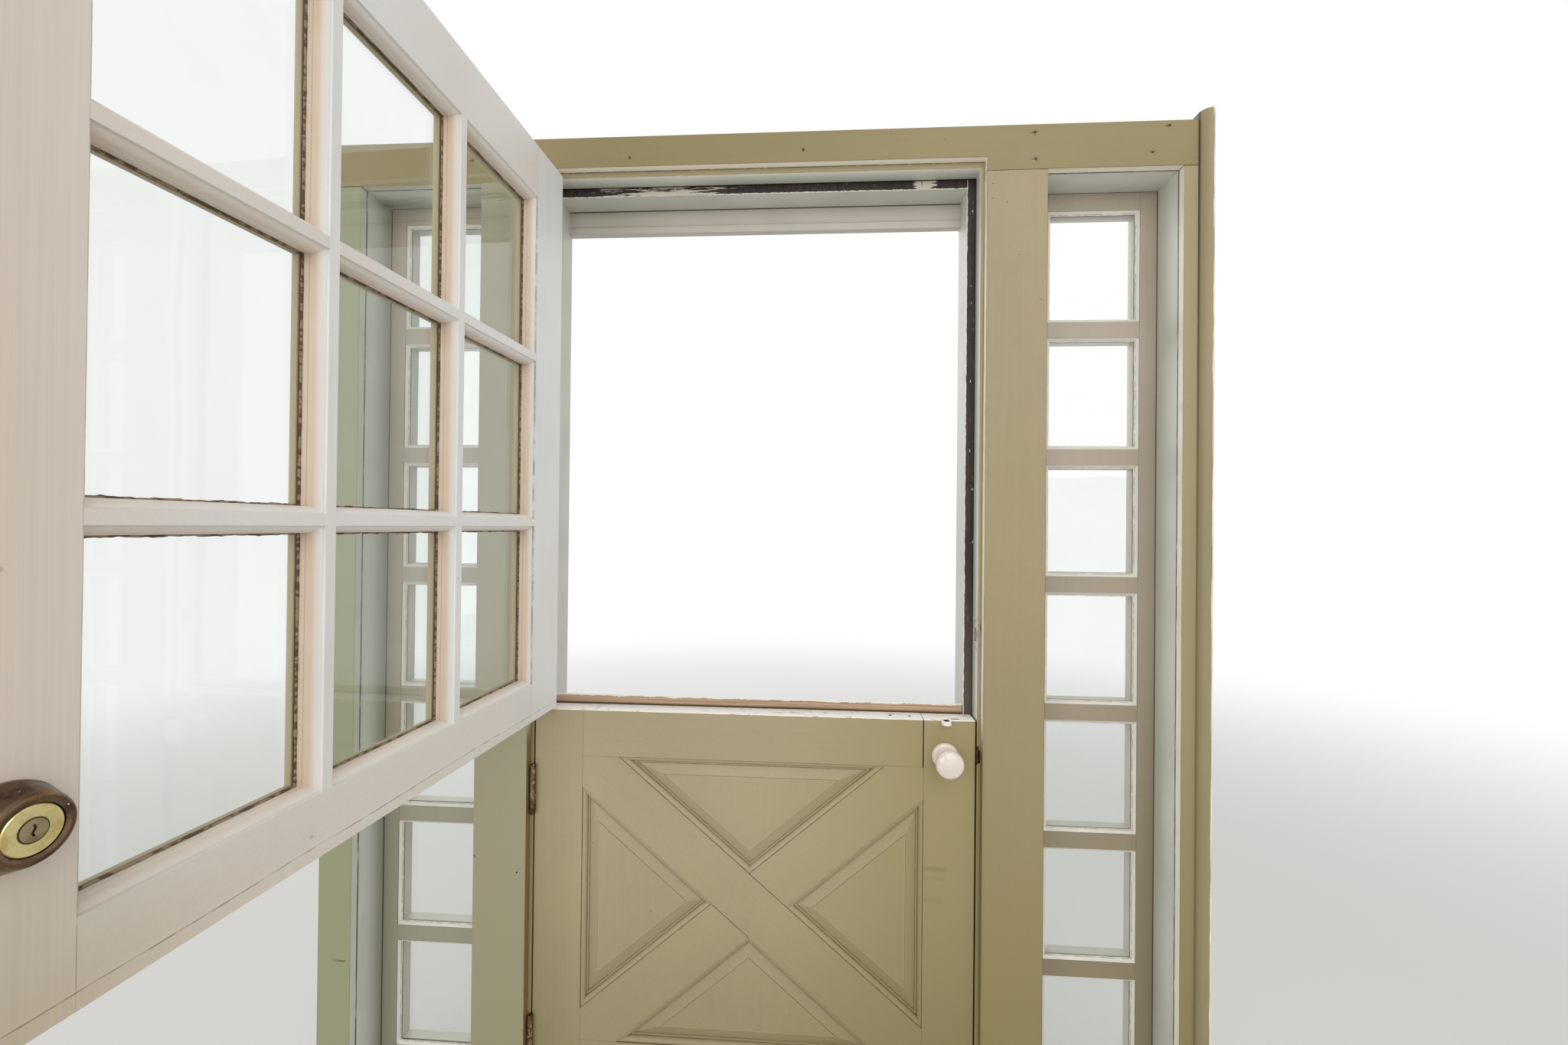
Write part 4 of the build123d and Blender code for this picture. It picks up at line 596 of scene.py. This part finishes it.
def sash_finishes():
    """Paint of the sidelights' sashes, beads and stops."""
    sash = Finish("sash_paint", TAUPE, rough=0.45)
    sash.colour = sash.wobble(TAUPE, 0.05, 160.0)
    low = sash.blend(sash.x.rise(-1.0, 1.0), tone(156, 153, 134), tone(146, 134, 106))
    sash.coat(sash.z.fall(300.0, 1700.0), low)
    sash.brushed(UP, 8.0)
    sash.coat(sash.y.rise(SASH_FACE + 0.2, SASH_FACE + 0.6), tone(74, 64, 50))
    sash.coat(sash.y.rise(GLASS_FACE, GLASS_FACE + 2.0), sash.wobble(tone(196, 190, 178), 0.05, 90.0))
    sash.coat(sash.specks(18.0, 3.0, 0.06) * 0.6, GRIME_AND_SHADE)
    for left_edge, right_edge in SIDELIGHTS:
        half = (right_edge - left_edge) / 2
        side = abs(sash.x - (left_edge + right_edge) / 2)
        cracked(sash, side - (half - SASH_STILE), 6.0, 0.8, 0.7)
        sash.coat((side - half).near(0.0, 1.6), DARK)
    dress(sash.done(), "sash_stiles", "sash_rails", "sash_bars")
    bead = Finish("bead_paint", tone(228, 225, 214), rough=0.4)
    bead.colour = bead.wobble(bead.colour, 0.04, 60.0)
    bead.raise_by(bead.noise(4.0, detail=3.0) * 0.12)
    dirt = bead.noise(14.0, seed=2.0, detail=4.0).rise(0.35, 0.55) * bead.y.fall(90.0, 92.0)
    bead.coat(bead.y.rise(GLASS_FACE - 2.0, GLASS_FACE) * dirt, tone(92, 84, 72))
    bead.coat(bead.y.rise(92.0, 94.0), outdoor_base(bead, 5.0))
    dress(bead.done(), "sash_beads", "sash_stops")


def sill_and_post_finishes():
    """Paint of the sill, and the posts and beam of bare timber."""
    sill = Finish("sill_paint", tone(150, 146, 136), rough=0.6)
    sill.colour = sill.wobble(sill.colour, 0.08, 150.0)
    sill.brushed(0.0, 9.0, depth=0.08)
    tread = sill.noise((90.0, 30.0, 30.0), seed=2.0, detail=5.0, rough=0.65).rise(0.52, 0.62)
    sill.coat(tread * sill.z.rise(20.0, 36.0) * 0.5, tone(120, 100, 76), rough=0.75, height=-0.15)
    dress(sill.done(), "sill", "sidelight_seats")
    dress(timber(), "mullion_posts")
    dress(timber("bare_timber_beam", 5.0, 0.0), "frame_head")


def lower_leaf_finishes():
    """Paint of the lower leaf, rub marks on its lock stile, and its weather lip of bare timber."""
    for name, turn, seed in (("lower_hinge_stile", UP, 1.0), ("lower_lock_stile", UP, 2.5),
                             ("lower_rails", 0.0, 4.0), ("brace_long", BRACE_TURN, 5.5),
                             ("braces_short", -BRACE_TURN, 7.0), ("lower_panels", UP, 8.5)):
        finish = lower_member(name + "_paint", turn, seed)
        if name == "lower_lock_stile":
            rub = finish.noise((26.0, 26.0, 5.0), seed=3.0, detail=3.0) - 0.5
            for x, z, strength in ((379.0, 652.0, 0.3), (377.0, 633.0, 0.16), (374.0, 590.0, 0.16)):
                mark = spots(finish, [(x, z)], 26.0) * (finish.z - z + rub * 9.0).near(0.0, 7.0)
                finish.coat(mark * finish.y.fall(20.0, 22.0) * strength, tone(104, 88, 52))
        if name == "lower_rails":
            dents = spots(finish, [(288.0, 22.0), (328.0, 21.0)], 4.0, "xy") * finish.z.rise(950.0, 953.0)
            finish.coat(dents, DARK, height=-0.9)
        dress(finish.done(), name)

    lip = Finish("lip_timber", tone(206, 178, 150), rough=0.8)
    grain = lip.noise((260.0, 2.0, 2.0), seed=2.0, detail=4.0, rough=0.6)
    lip.colour = lip.blend(grain.rise(0.3, 0.7), lip.colour, tone(158, 126, 98))
    lip.raise_by(grain * 0.25)
    ragged = lip.z + (lip.noise((26.0, 6.0, 6.0), seed=4.0, detail=5.0, rough=0.65) - 0.5) * 11.0
    lip.coat(ragged.rise(971.0, 971.8), CHIP, rough=0.5, height=0.25)
    lip.coat(lip.y.rise(57.5, 59.0), outdoor_base(lip, 3.0), rough=0.45)
    lip.coat(lip.z.fall(956.0, 960.0) * lip.y.fall(46.0, 47.0), GRIME_AND_SHADE)
    dress(lip.done(), "weather_lip")


def top_leaf_finishes():
    """Paint of the top leaf and of the beads by its panes."""
    for name, turn, seed in (("top_hinge_stile", UP, 1.5), ("top_lock_stile", UP, 3.0),
                             ("top_rails", 0.0, 4.5), ("top_upright_bars", UP, 6.0),
                             ("top_cross_bars", 0.0, 7.5)):
        finish, along = upper_member(name + "_paint", turn, seed)
        if not name.endswith("bars"):
            cracked(finish, abs(along) - STILE_EDGE, 3.0, 0.55, 0.6)
        dress(finish.done(), name)

    bead = Finish("room_bead_paint", tone(132, 104, 74), rough=0.5)
    bead.colour = bead.wobble(bead.colour, 0.12, 40.0)
    depth = leaf_depth(bead)[0]
    bead.coat(depth.fall(13.4, 14.2), bead.wobble(OLIVE, 0.05))
    bead.raise_by(bead.noise(5.0, detail=3.0) * 0.15)
    dress(bead.done(), "top_beads")


def glass_finish():
    """Window glass: clear by its share of straight light, with a mirror's gloss that grows at a slant,
    faint waves and a dusty film."""
    finish = Finish("window_glass", (0.93, 0.96, 0.95))
    nodes = finish.tree.nodes
    nodes.remove(finish.shader)
    clear = finish.add("ShaderNodeBsdfTransparent", {}, {"Color": (0.955, 0.97, 0.962, 1.0)})
    waves = finish.noise(95.0, detail=1.0) * 0.35
    bump = finish.add("ShaderNodeBump", {}, {"Height": waves, "Distance": MM, "Strength": 0.5})
    values = {"Color": (0.9, 0.92, 0.92, 1.0), "Roughness": 0.015, "Normal": bump.outputs[0]}
    gloss = finish.add("ShaderNodeBsdfGlossy", {}, values)
    film = finish.add("ShaderNodeBsdfDiffuse", {}, {"Color": (0.8, 0.8, 0.77, 1.0)})
    slant = finish.field("ShaderNodeLayerWeight", {}, {"Blend": 0.5}, 1) ** 4.0 * 0.85 + 0.035
    dust = finish.noise(120.0, detail=4.0, rough=0.6).rise(0.4, 0.8) * 0.035 + 0.012
    dusty = finish.add("ShaderNodeMixShader", {}, {0: dust, 1: clear.outputs[0], 2: film.outputs[0]})
    whole = finish.add("ShaderNodeMixShader", {}, {0: slant, 1: dusty.outputs[0], 2: gloss.outputs[0]})
    finish.feed(nodes["Material Output"], "Surface", whole.outputs[0])
    dress(finish.material, "top_panes", "sash_panes")


def metal(name, colour, rough, worn, seed, paint=None):
    """Metal with a worn second colour and, if a paint is given, splashes of it."""
    finish = Finish(name, colour, rough=rough, metal=1.0)
    wear = finish.noise(14.0, seed=seed, detail=5.0, rough=0.65)
    finish.colour = finish.blend(wear.rise(0.42, 0.62), colour, worn)
    finish.rough = wear * 0.3 + (rough - 0.12)
    finish.raise_by(finish.noise(1.6, seed=seed, detail=3.0) * 0.03)
    if paint is not None:
        splash = finish.noise(9.0, seed=seed + 4.0, detail=5.0, rough=0.7).rise(0.56, 0.58)
        finish.coat(splash, paint, rough=0.5, height=0.12)
        finish.feed(finish.shader, "Metallic", 1.0 - splash)
    return finish


def hardware_finishes():
    """Hinges, locks, bolts and knobs."""
    hinge = metal("hinge_bronze", tone(128, 102, 72), 0.5, tone(84, 62, 42), 1.0, tone(150, 132, 98))
    dress(hinge.done(), "jamb_hinge_plates", "hinge_pins", "top_hinge_plates", "lower_hinge_plates")
    collar = metal("collar_bronze", tone(112, 92, 74), 0.27, tone(80, 64, 52), 2.0)
    # A warm lighter band on the collar: a painted reflection.
    rub = collar.noise(26.0, seed=6.0, detail=4.0).rise(0.5, 0.75) * 0.6
    collar.coat(rub, tone(150, 108, 66))
    flecks = collar.specks(7.0, 3.0, 0.09).most(collar.specks(4.0, 8.0, 0.08))
    collar.coat(flecks, CHIP, rough=0.6, height=0.1)
    dress(collar.done(), "deadbolt_collar")
    brass = metal("brass", tone(238, 226, 168), 0.3, tone(214, 194, 130), 3.0)
    depth, along = leaf_depth(brass)
    from_middle = (((along - LOCK_X) ** 2.0) + ((brass.z - DEADBOLT_Z) ** 2.0)) ** 0.5
    plug_edge = from_middle.near(8.4, 1.1) * depth.rise(40.0, 50.0)
    brass.coat(plug_edge, DARK, rough=0.6)
    dress(brass.done(), "deadbolt_cylinder", "turn_rose", "thumb_turn")
    plug = metal("plug_brass", tone(176, 160, 128), 0.34, tone(140, 122, 96), 3.5)
    dress(plug.done(), "key_plug")
    steel = metal("bright_steel", tone(196, 194, 188), 0.36, tone(160, 156, 150), 4.0)
    dress(steel.done(), "deadbolt_case", "latch_case", "latch_bolt", "deadbolt_bolt", "knob_spindle")
    plate = Finish("painted_plate", tone(208, 206, 194), rough=0.4)
    plate.colour = plate.wobble(plate.colour, 0.05, 30.0)
    plate.raise_by(plate.noise(5.0, detail=3.0) * 0.12)
    bare = plate.noise(8.0, seed=3.0, detail=5.0, rough=0.7).rise(0.62, 0.64)
    plate.coat(bare, tone(112, 104, 92), rough=0.45, height=-0.12)
    dress(plate.done(), "deadbolt_strike", "link_bolt_plate", "link_bolt")
    dress(metal("dull_bronze", tone(104, 88, 66), 0.5, tone(70, 58, 44), 6.0).done(), "latch_strike")
    ring = Finish("keeper_paint", tone(240, 238, 230), rough=0.4)
    # The ring's bore is painted near black as the shade inside it.
    from_middle = (((ring.x - LINK_X) ** 2.0) + ((ring.y - LINK_Y) ** 2.0)) ** 0.5
    ring.coat(from_middle.fall(6.1, 6.4), DARK, rough=0.8)
    dress(ring.done(), "keeper_ring")
    knob = Finish("porcelain", tone(232, 219, 208), rough=0.14, coat=0.9)
    knob.colour = knob.wobble(knob.colour, 0.03, 14.0)
    worn = knob.specks(9.0, 2.0, 0.05)
    knob.coat(worn * 0.5, tone(150, 130, 110))
    knob.coat((knob.y + 0.6).near(0.0, 1.1), GRIME_AND_SHADE)
    dress(knob.done(), "knobs", "knob_roses")


# Pieces made as surfaces
def skin(name, grid, body, material, pole=None):
    """A piece from a grid of points in millimetres, [copy, row, column]: the last column joins the first,
    and the first row closes on a pole where one is given."""
    copies, rows, columns = grid.shape[:3]
    index = np.arange(copies * rows * columns).reshape(copies, rows, columns)
    index = np.concatenate([index, index[:, :, :1]], axis=2)
    corners = (index[:, :-1, :-1], index[:, :-1, 1:], index[:, 1:, 1:], index[:, 1:, :-1])
    faces = np.stack(corners, -1).reshape(-1, 4).tolist()
    points = grid.reshape(-1, 3)
    if pole is not None:
        centre = np.broadcast_to(len(points) + np.arange(copies)[:, None], index[:, 0, :-1].shape)
        faces += np.stack((centre, index[:, 0, 1:], index[:, 0, :-1]), -1).reshape(-1, 3).tolist()
        points = np.concatenate([points, pole])
    mesh = bpy.data.meshes.new(name)
    mesh.from_pydata((points * MM).tolist(), [], faces)
    mesh.polygons.foreach_set("use_smooth", [True] * len(mesh.polygons))
    mesh.materials.append(material)
    piece = bpy.data.objects.new(name, mesh)
    bpy.context.scene.collection.objects.link(piece)
    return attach(piece, body)


def swung(points):
    """Points of the closed top leaf, turned about the hinge pin to where it stands open."""
    across, back = points[..., 0] - PIN[0], points[..., 1] - PIN[1]
    x = PIN[0] + across * cos(SWUNG) - back * sin(SWUNG)
    y = PIN[1] + across * sin(SWUNG) + back * cos(SWUNG)
    return np.stack((x, y, points[..., 2]), -1)


def screws(name, places, normal, body, material, radius=3.6, slotted=False, leaf=False):
    """Screw heads. Height over the plate is 0.22 times one less the square of the radius share, less a
    recess where a cross or one slot is cut: radius and angle are the two parameters."""
    places = np.array(places, dtype=float)
    normal = np.array(normal, dtype=float)
    side = np.cross(normal, (0.0, 0.0, 1.0))
    up = np.cross(side, normal)
    share, angle = np.meshgrid(np.linspace(0.12, 1.0, 9), np.linspace(0.0, 2 * pi, 33)[:-1], indexing="ij")
    across, along = share * np.cos(angle), share * np.sin(angle)
    arms = np.exp(-(across / 0.13) ** 4) * (np.abs(along) < 0.62)
    if slotted:
        arms = np.exp(-(across / 0.11) ** 4)
    else:
        arms = np.maximum(arms, np.exp(-(along / 0.13) ** 4) * (np.abs(across) < 0.62))
    height = 0.22 * (1.0 - share ** 2) - 0.55 * arms * (share < 0.97) - 0.12 * (share > 0.98)
    turns = np.sin(np.arange(len(places)) * 7.3 + 1.0)[:, None, None] * pi
    sideways = radius * (across * np.cos(turns) - along * np.sin(turns))
    upward = radius * (across * np.sin(turns) + along * np.cos(turns))
    grid = places[:, None, None] + sideways[..., None] * side + upward[..., None] * up
    grid = grid + (height + 0.02)[None, ..., None] * normal
    pole = places - normal * 0.31
    if leaf:
        grid, pole = swung(grid), swung(pole)
    return skin(name, grid, body, material, pole)


def ragged_frames(name, panes, depth, out, reach, rise, body, material, leaf=False, seed=0.0):
    """Paint or putty that laps on to the glass round each pane. A profile of four points, wide by reach
    and high by rise, is carried round each rectangle, and both swell and shrink along it by a sum of
    sines."""
    steps = 48
    way = np.linspace(0.0, 1.0, steps, endpoint=False)
    frames = []
    for number, (left, right, low, high) in enumerate(panes):
        corner = np.array([(left, low), (right, low), (right, high), (left, high), (left, low)])
        path = np.concatenate([start + (end - start) * way[:, None]
                               for start, end in zip(corner[:-1], corner[1:])])
        inward = np.array([(0.0, 1.0), (-1.0, 0.0), (0.0, -1.0), (1.0, 0.0)]).repeat(steps, axis=0)
        inward[::steps] = (inward[::steps] + np.roll(inward, 1, axis=0)[::steps])
        distance = np.arange(4 * steps) * 1.7 + number * 31.0 + seed
        swell = np.sin(distance * 0.31) * 0.3 + np.sin(distance * 0.83 + 1.0) * 0.25
        swell = 1.0 + (swell + np.sin(distance * 2.1) * 0.25) * 0.8
        profile = ((-0.6, 0.0, 0.02), (0.35, 0.0, 1.0), (0.8, 0.55, 0.45), (1.0, 1.0, 0.0))
        rows = []
        for base, wide, tall in profile:
            place = path + inward * (reach * (base * 0.4 + wide * swell * 0.6))[:, None]
            over = depth + out * rise * tall * (0.7 + 0.3 * swell)
            rows.append(np.stack((place[:, 0], over, place[:, 1]), -1))
        frames.append(rows[::-1] if out > 0 else rows)
    grid = np.array(frames)
    if leaf:
        grid = swung(grid)
    return skin(name, grid, body, material)


def caulk():
    """Bead of filler down the corner moulding's far edge: a small circle carried up a wavy line, whose
    radius swells by a sum of sines and falls away as a square root at both ends."""
    foot, head = 40.0, 2160.0
    angle = np.linspace(0.0, 2 * pi, 9)[:-1]
    height, angle = np.meshgrid(np.linspace(foot, head, 500), angle, indexing="ij")
    thick = 0.75 + 0.2 * np.sin(height * 0.021) + 0.12 * np.sin(height * 0.13)
    from_end = np.minimum(height - foot, head - height)
    thick = thick * np.sqrt(np.clip(from_end / 4.0, 0.0004, 1.0))
    x = MOULD_EDGE - 1.6 + 0.25 * np.sin(height * 0.047) + thick * np.cos(angle)
    y = -36.1 + 0.5 * np.sin(height * 0.031 + 2.0) + thick * np.sin(angle)
    material = Finish("filler", tone(222, 216, 206), rough=0.7).done()
    skin("corner_filler", np.stack((x, y, height), -1)[None], "frame", material)


def daylight(left, right, low, high, across, up, bar_x, bar_z, inset):
    """The panes of a glazed frame as rectangles of clear glass, from its bars and the lap on to the
    glass."""
    wide = (right - left - (across - 1) * bar_x) / across
    tall = (high - low - (up - 1) * bar_z) / up
    panes = []
    for row in range(up):
        foot = low + row * (tall + bar_z)
        for column in range(across):
            start = left + column * (wide + bar_x)
            panes.append((start + inset, start + wide - inset, foot + inset, foot + tall - inset))
    return panes


def fixings():
    """Screws of the hinges, strikes, faceplates and link bolt, and nails of the weather lip."""
    bronze = metal("screw_bronze", tone(120, 98, 70), 0.45, tone(84, 66, 46), 7.0).done()
    steel = metal("screw_steel", tone(178, 174, 166), 0.4, tone(140, 134, 126), 8.0).done()
    holes = ((9.0, -38.0), (22.0, -14.0), (9.0, 14.0), (22.0, 38.0))
    lower_hinges, top_hinges = (261.0, 786.0), (1130.0, 1846.0)
    on_jamb = [(-DOOR, y, z + dz) for z in lower_hinges + top_hinges for y, dz in holes]
    screws("jamb_hinge_screws", on_jamb, (1, 0, 0), "frame", bronze)
    on_lower = [(-LEAF, y, z + dz) for z in lower_hinges for y, dz in holes]
    screws("lower_hinge_screws", on_lower, (-1, 0, 0), "lower_leaf", bronze)
    on_top = [(-LEAF, y, z + dz) for z in top_hinges for y, dz in holes]
    screws("top_hinge_screws", on_top, (-1, 0, 0), "top_leaf", bronze, leaf=True)
    strikes = [(DOOR, LEAF_MIDDLE, DEADBOLT_Z + dz) for dz in (-27.0, 27.0)]
    strikes += [(DOOR, LEAF_MIDDLE, LATCH_Z + dz) for dz in (-21.0, 21.0)]
    screws("strike_screws", strikes, (-1, 0, 0), "frame", bronze, 3.4)
    deadbolt = [(LEAF, LEAF_MIDDLE, DEADBOLT_Z + dz) for dz in (-21.5, 21.5)]
    screws("deadbolt_plate_screws", deadbolt, (1, 0, 0), "top_leaf", steel, 3.2, leaf=True)
    latch = [(LEAF, LEAF_MIDDLE, LATCH_Z + dz) for dz in (-21.5, 21.5)]
    screws("latch_plate_screws", latch, (1, 0, 0), "lower_leaf", steel, 3.2)
    link = [(LINK_X + dx, -1.5, 966.0 + dz) for dx in (-12.0, 12.0) for dz in (3.0, 34.0, 98.0)]
    screws("link_plate_screws", link, (0, -1, 0), "top_leaf", bronze, 2.6, True, True)
    lip_face = 59.45
    nails = [(x, lip_face, 950.0 + 2.0 * sin(x)) for x in (-420.0, -252.0, -84.0, 84.0, 252.0, 420.0)]
    screws("lip_nails", nails, (0, 1, 0), "lower_leaf", steel, 2.4, True)


def paint_on_glass():
    """Putty round the top leaf's panes and paint that laps on to the glass of both sidelights."""
    putty = Finish("old_putty", tone(150, 132, 108), rough=0.7)
    dark = putty.noise((14.0, 14.0, 5.0), seed=2.0, detail=4.0).rise(0.46, 0.54)
    putty.coat(dark, tone(86, 70, 52))
    top = daylight(-STILE_EDGE, STILE_EDGE, 1035.0, 1977.0, 3, 3, 13.8, 13.8, 8.1)
    ragged_frames("top_glass_putty", top, 18.5, 1.0, 2.6, 1.6, "top_leaf",
                  putty.done(), True)
    lap = Finish("paint_on_glass", tone(228, 225, 214), rough=0.45).done()
    sides = []
    for left, right in SIDELIGHTS:
        sides += daylight(left + SASH_STILE, right - SASH_STILE, 157.0, 2024.0, 1, 7, 0.0, 34.0, 5.5)
    ragged_frames("sidelight_paint_laps", sides, GLASS_FACE - 0.1, -1.0, 1.6, 0.35, "frame",
                  lap, seed=50.0)


# Light, floor and camera
def floor_and_light():
    """Pale floor that turns white far off, a white world and three soft lamps."""
    reach = 30.0
    mesh = bpy.data.meshes.new("floor")
    corners = [(-reach, -reach, 0), (reach, -reach, 0), (reach, reach, 0), (-reach, reach, 0)]
    mesh.from_pydata(corners, [], [(0, 1, 2, 3)])
    floor = bpy.data.objects.new("floor", mesh)
    bpy.context.scene.collection.objects.link(floor)
    finish = Finish("floor_pale", tone(222, 221, 218), rough=0.8, specular=0.1)
    away = (((finish.x ** 2.0) + (finish.y ** 2.0)) ** 0.5).rise(1800.0, 6500.0)
    light = finish.add("ShaderNodeLightPath").outputs
    seen = Field(finish, light["Is Camera Ray"]).most(Field(finish, light["Is Glossy Ray"]))
    seen = seen.most(Field(finish, light["Is Transmission Ray"]))
    white = finish.add("ShaderNodeEmission", {}, {"Color": (1, 1, 1, 1), "Strength": 1.0})
    finish.done()
    values = {0: away * seen, 1: finish.shader.outputs[0], 2: white.outputs[0]}
    both = finish.add("ShaderNodeMixShader", {}, values)
    finish.feed(finish.tree.nodes["Material Output"], "Surface", both.outputs[0])
    mesh.materials.append(finish.material)

    world = bpy.data.worlds.new("studio")
    bpy.context.scene.world = world
    world.use_nodes = True
    nodes, links = world.node_tree.nodes, world.node_tree.links
    lit, plain = nodes["Background"], nodes.new("ShaderNodeBackground")
    for background, strength in ((lit, 0.68), (plain, 1.0)):
        background.inputs["Color"].default_value = (1.0, 1.0, 1.0, 1.0)
        background.inputs["Strength"].default_value = strength
    path = nodes.new("ShaderNodeLightPath")
    seen = path.outputs["Is Camera Ray"]
    for key in ("Is Glossy Ray", "Is Transmission Ray"):
        most = nodes.new("ShaderNodeMath")
        most.operation = "MAXIMUM"
        links.new(seen, most.inputs[0])
        links.new(path.outputs[key], most.inputs[1])
        seen = most.outputs[0]
    mix = nodes.new("ShaderNodeMixShader")
    links.new(seen, mix.inputs[0])
    links.new(lit.outputs[0], mix.inputs[1])
    links.new(plain.outputs[0], mix.inputs[2])
    links.new(mix.outputs[0], nodes["World Output"].inputs["Surface"])

    lamp("room_lamp", (1.2, -3.4, 3.1), (-0.1, 0.0, 1.2), 3.0, 45.0, (1.0, 0.97, 0.93))
    lamp("outdoor_lamp", (-1.4, 3.2, 3.0), (0.0, 0.0, 1.2), 3.0, 42.0, (0.96, 0.98, 1.0))
    lamp("left_room_lamp", (-1.5, -3.1, 1.7), (0.3, 0.0, 1.3), 2.0, 22.0, (1.0, 1.0, 1.0))


def lamp(name, place, target, size, power, colour):
    """A square soft lamp that looks at a target."""
    data = bpy.data.lights.new(name, "AREA")
    data.size = size
    data.energy = power
    data.color = colour
    lamp_object = bpy.data.objects.new(name, data)
    ray = np.subtract(target, place)
    back = -ray / np.linalg.norm(ray)
    side = np.cross((0, 0, 1), back)
    side /= np.linalg.norm(side)
    up = np.cross(back, side)
    turn = Matrix(np.column_stack((side, up, back)).tolist()).to_4x4()
    lamp_object.matrix_world = Matrix.Translation(place) @ turn
    bpy.context.scene.collection.objects.link(lamp_object)


def set_camera():
    """Turns to the left and up, then rolls about its own axis. Its right, up and back axes are the
    columns of the turn."""
    data = bpy.data.cameras.new("camera")
    data.sensor_width = 36.0
    data.lens = 14.027
    data.clip_start = 0.01
    camera = bpy.data.objects.new("camera", data)
    turn = (Matrix.Rotation(radians(3.5818), 3, "Z") @ Matrix.Rotation(radians(0.3338), 3, "X")
            @ Matrix(((1, 0, 0), (0, 0, -1), (0, 1, 0))) @ Matrix.Rotation(radians(0.5707), 3, "Z"))
    camera.matrix_world = Matrix.Translation((0.14395, -1.26006, 1.34459)) @ turn.to_4x4()
    bpy.context.scene.collection.objects.link(camera)
    bpy.context.scene.camera = camera


casing_finishes()
jamb_finishes()
sash_finishes()
sill_and_post_finishes()
lower_leaf_finishes()
top_leaf_finishes()
glass_finish()
hardware_finishes()
fixings()
paint_on_glass()
caulk()
floor_and_light()
set_camera()
bpy.context.scene.view_settings.view_transform = "Standard"
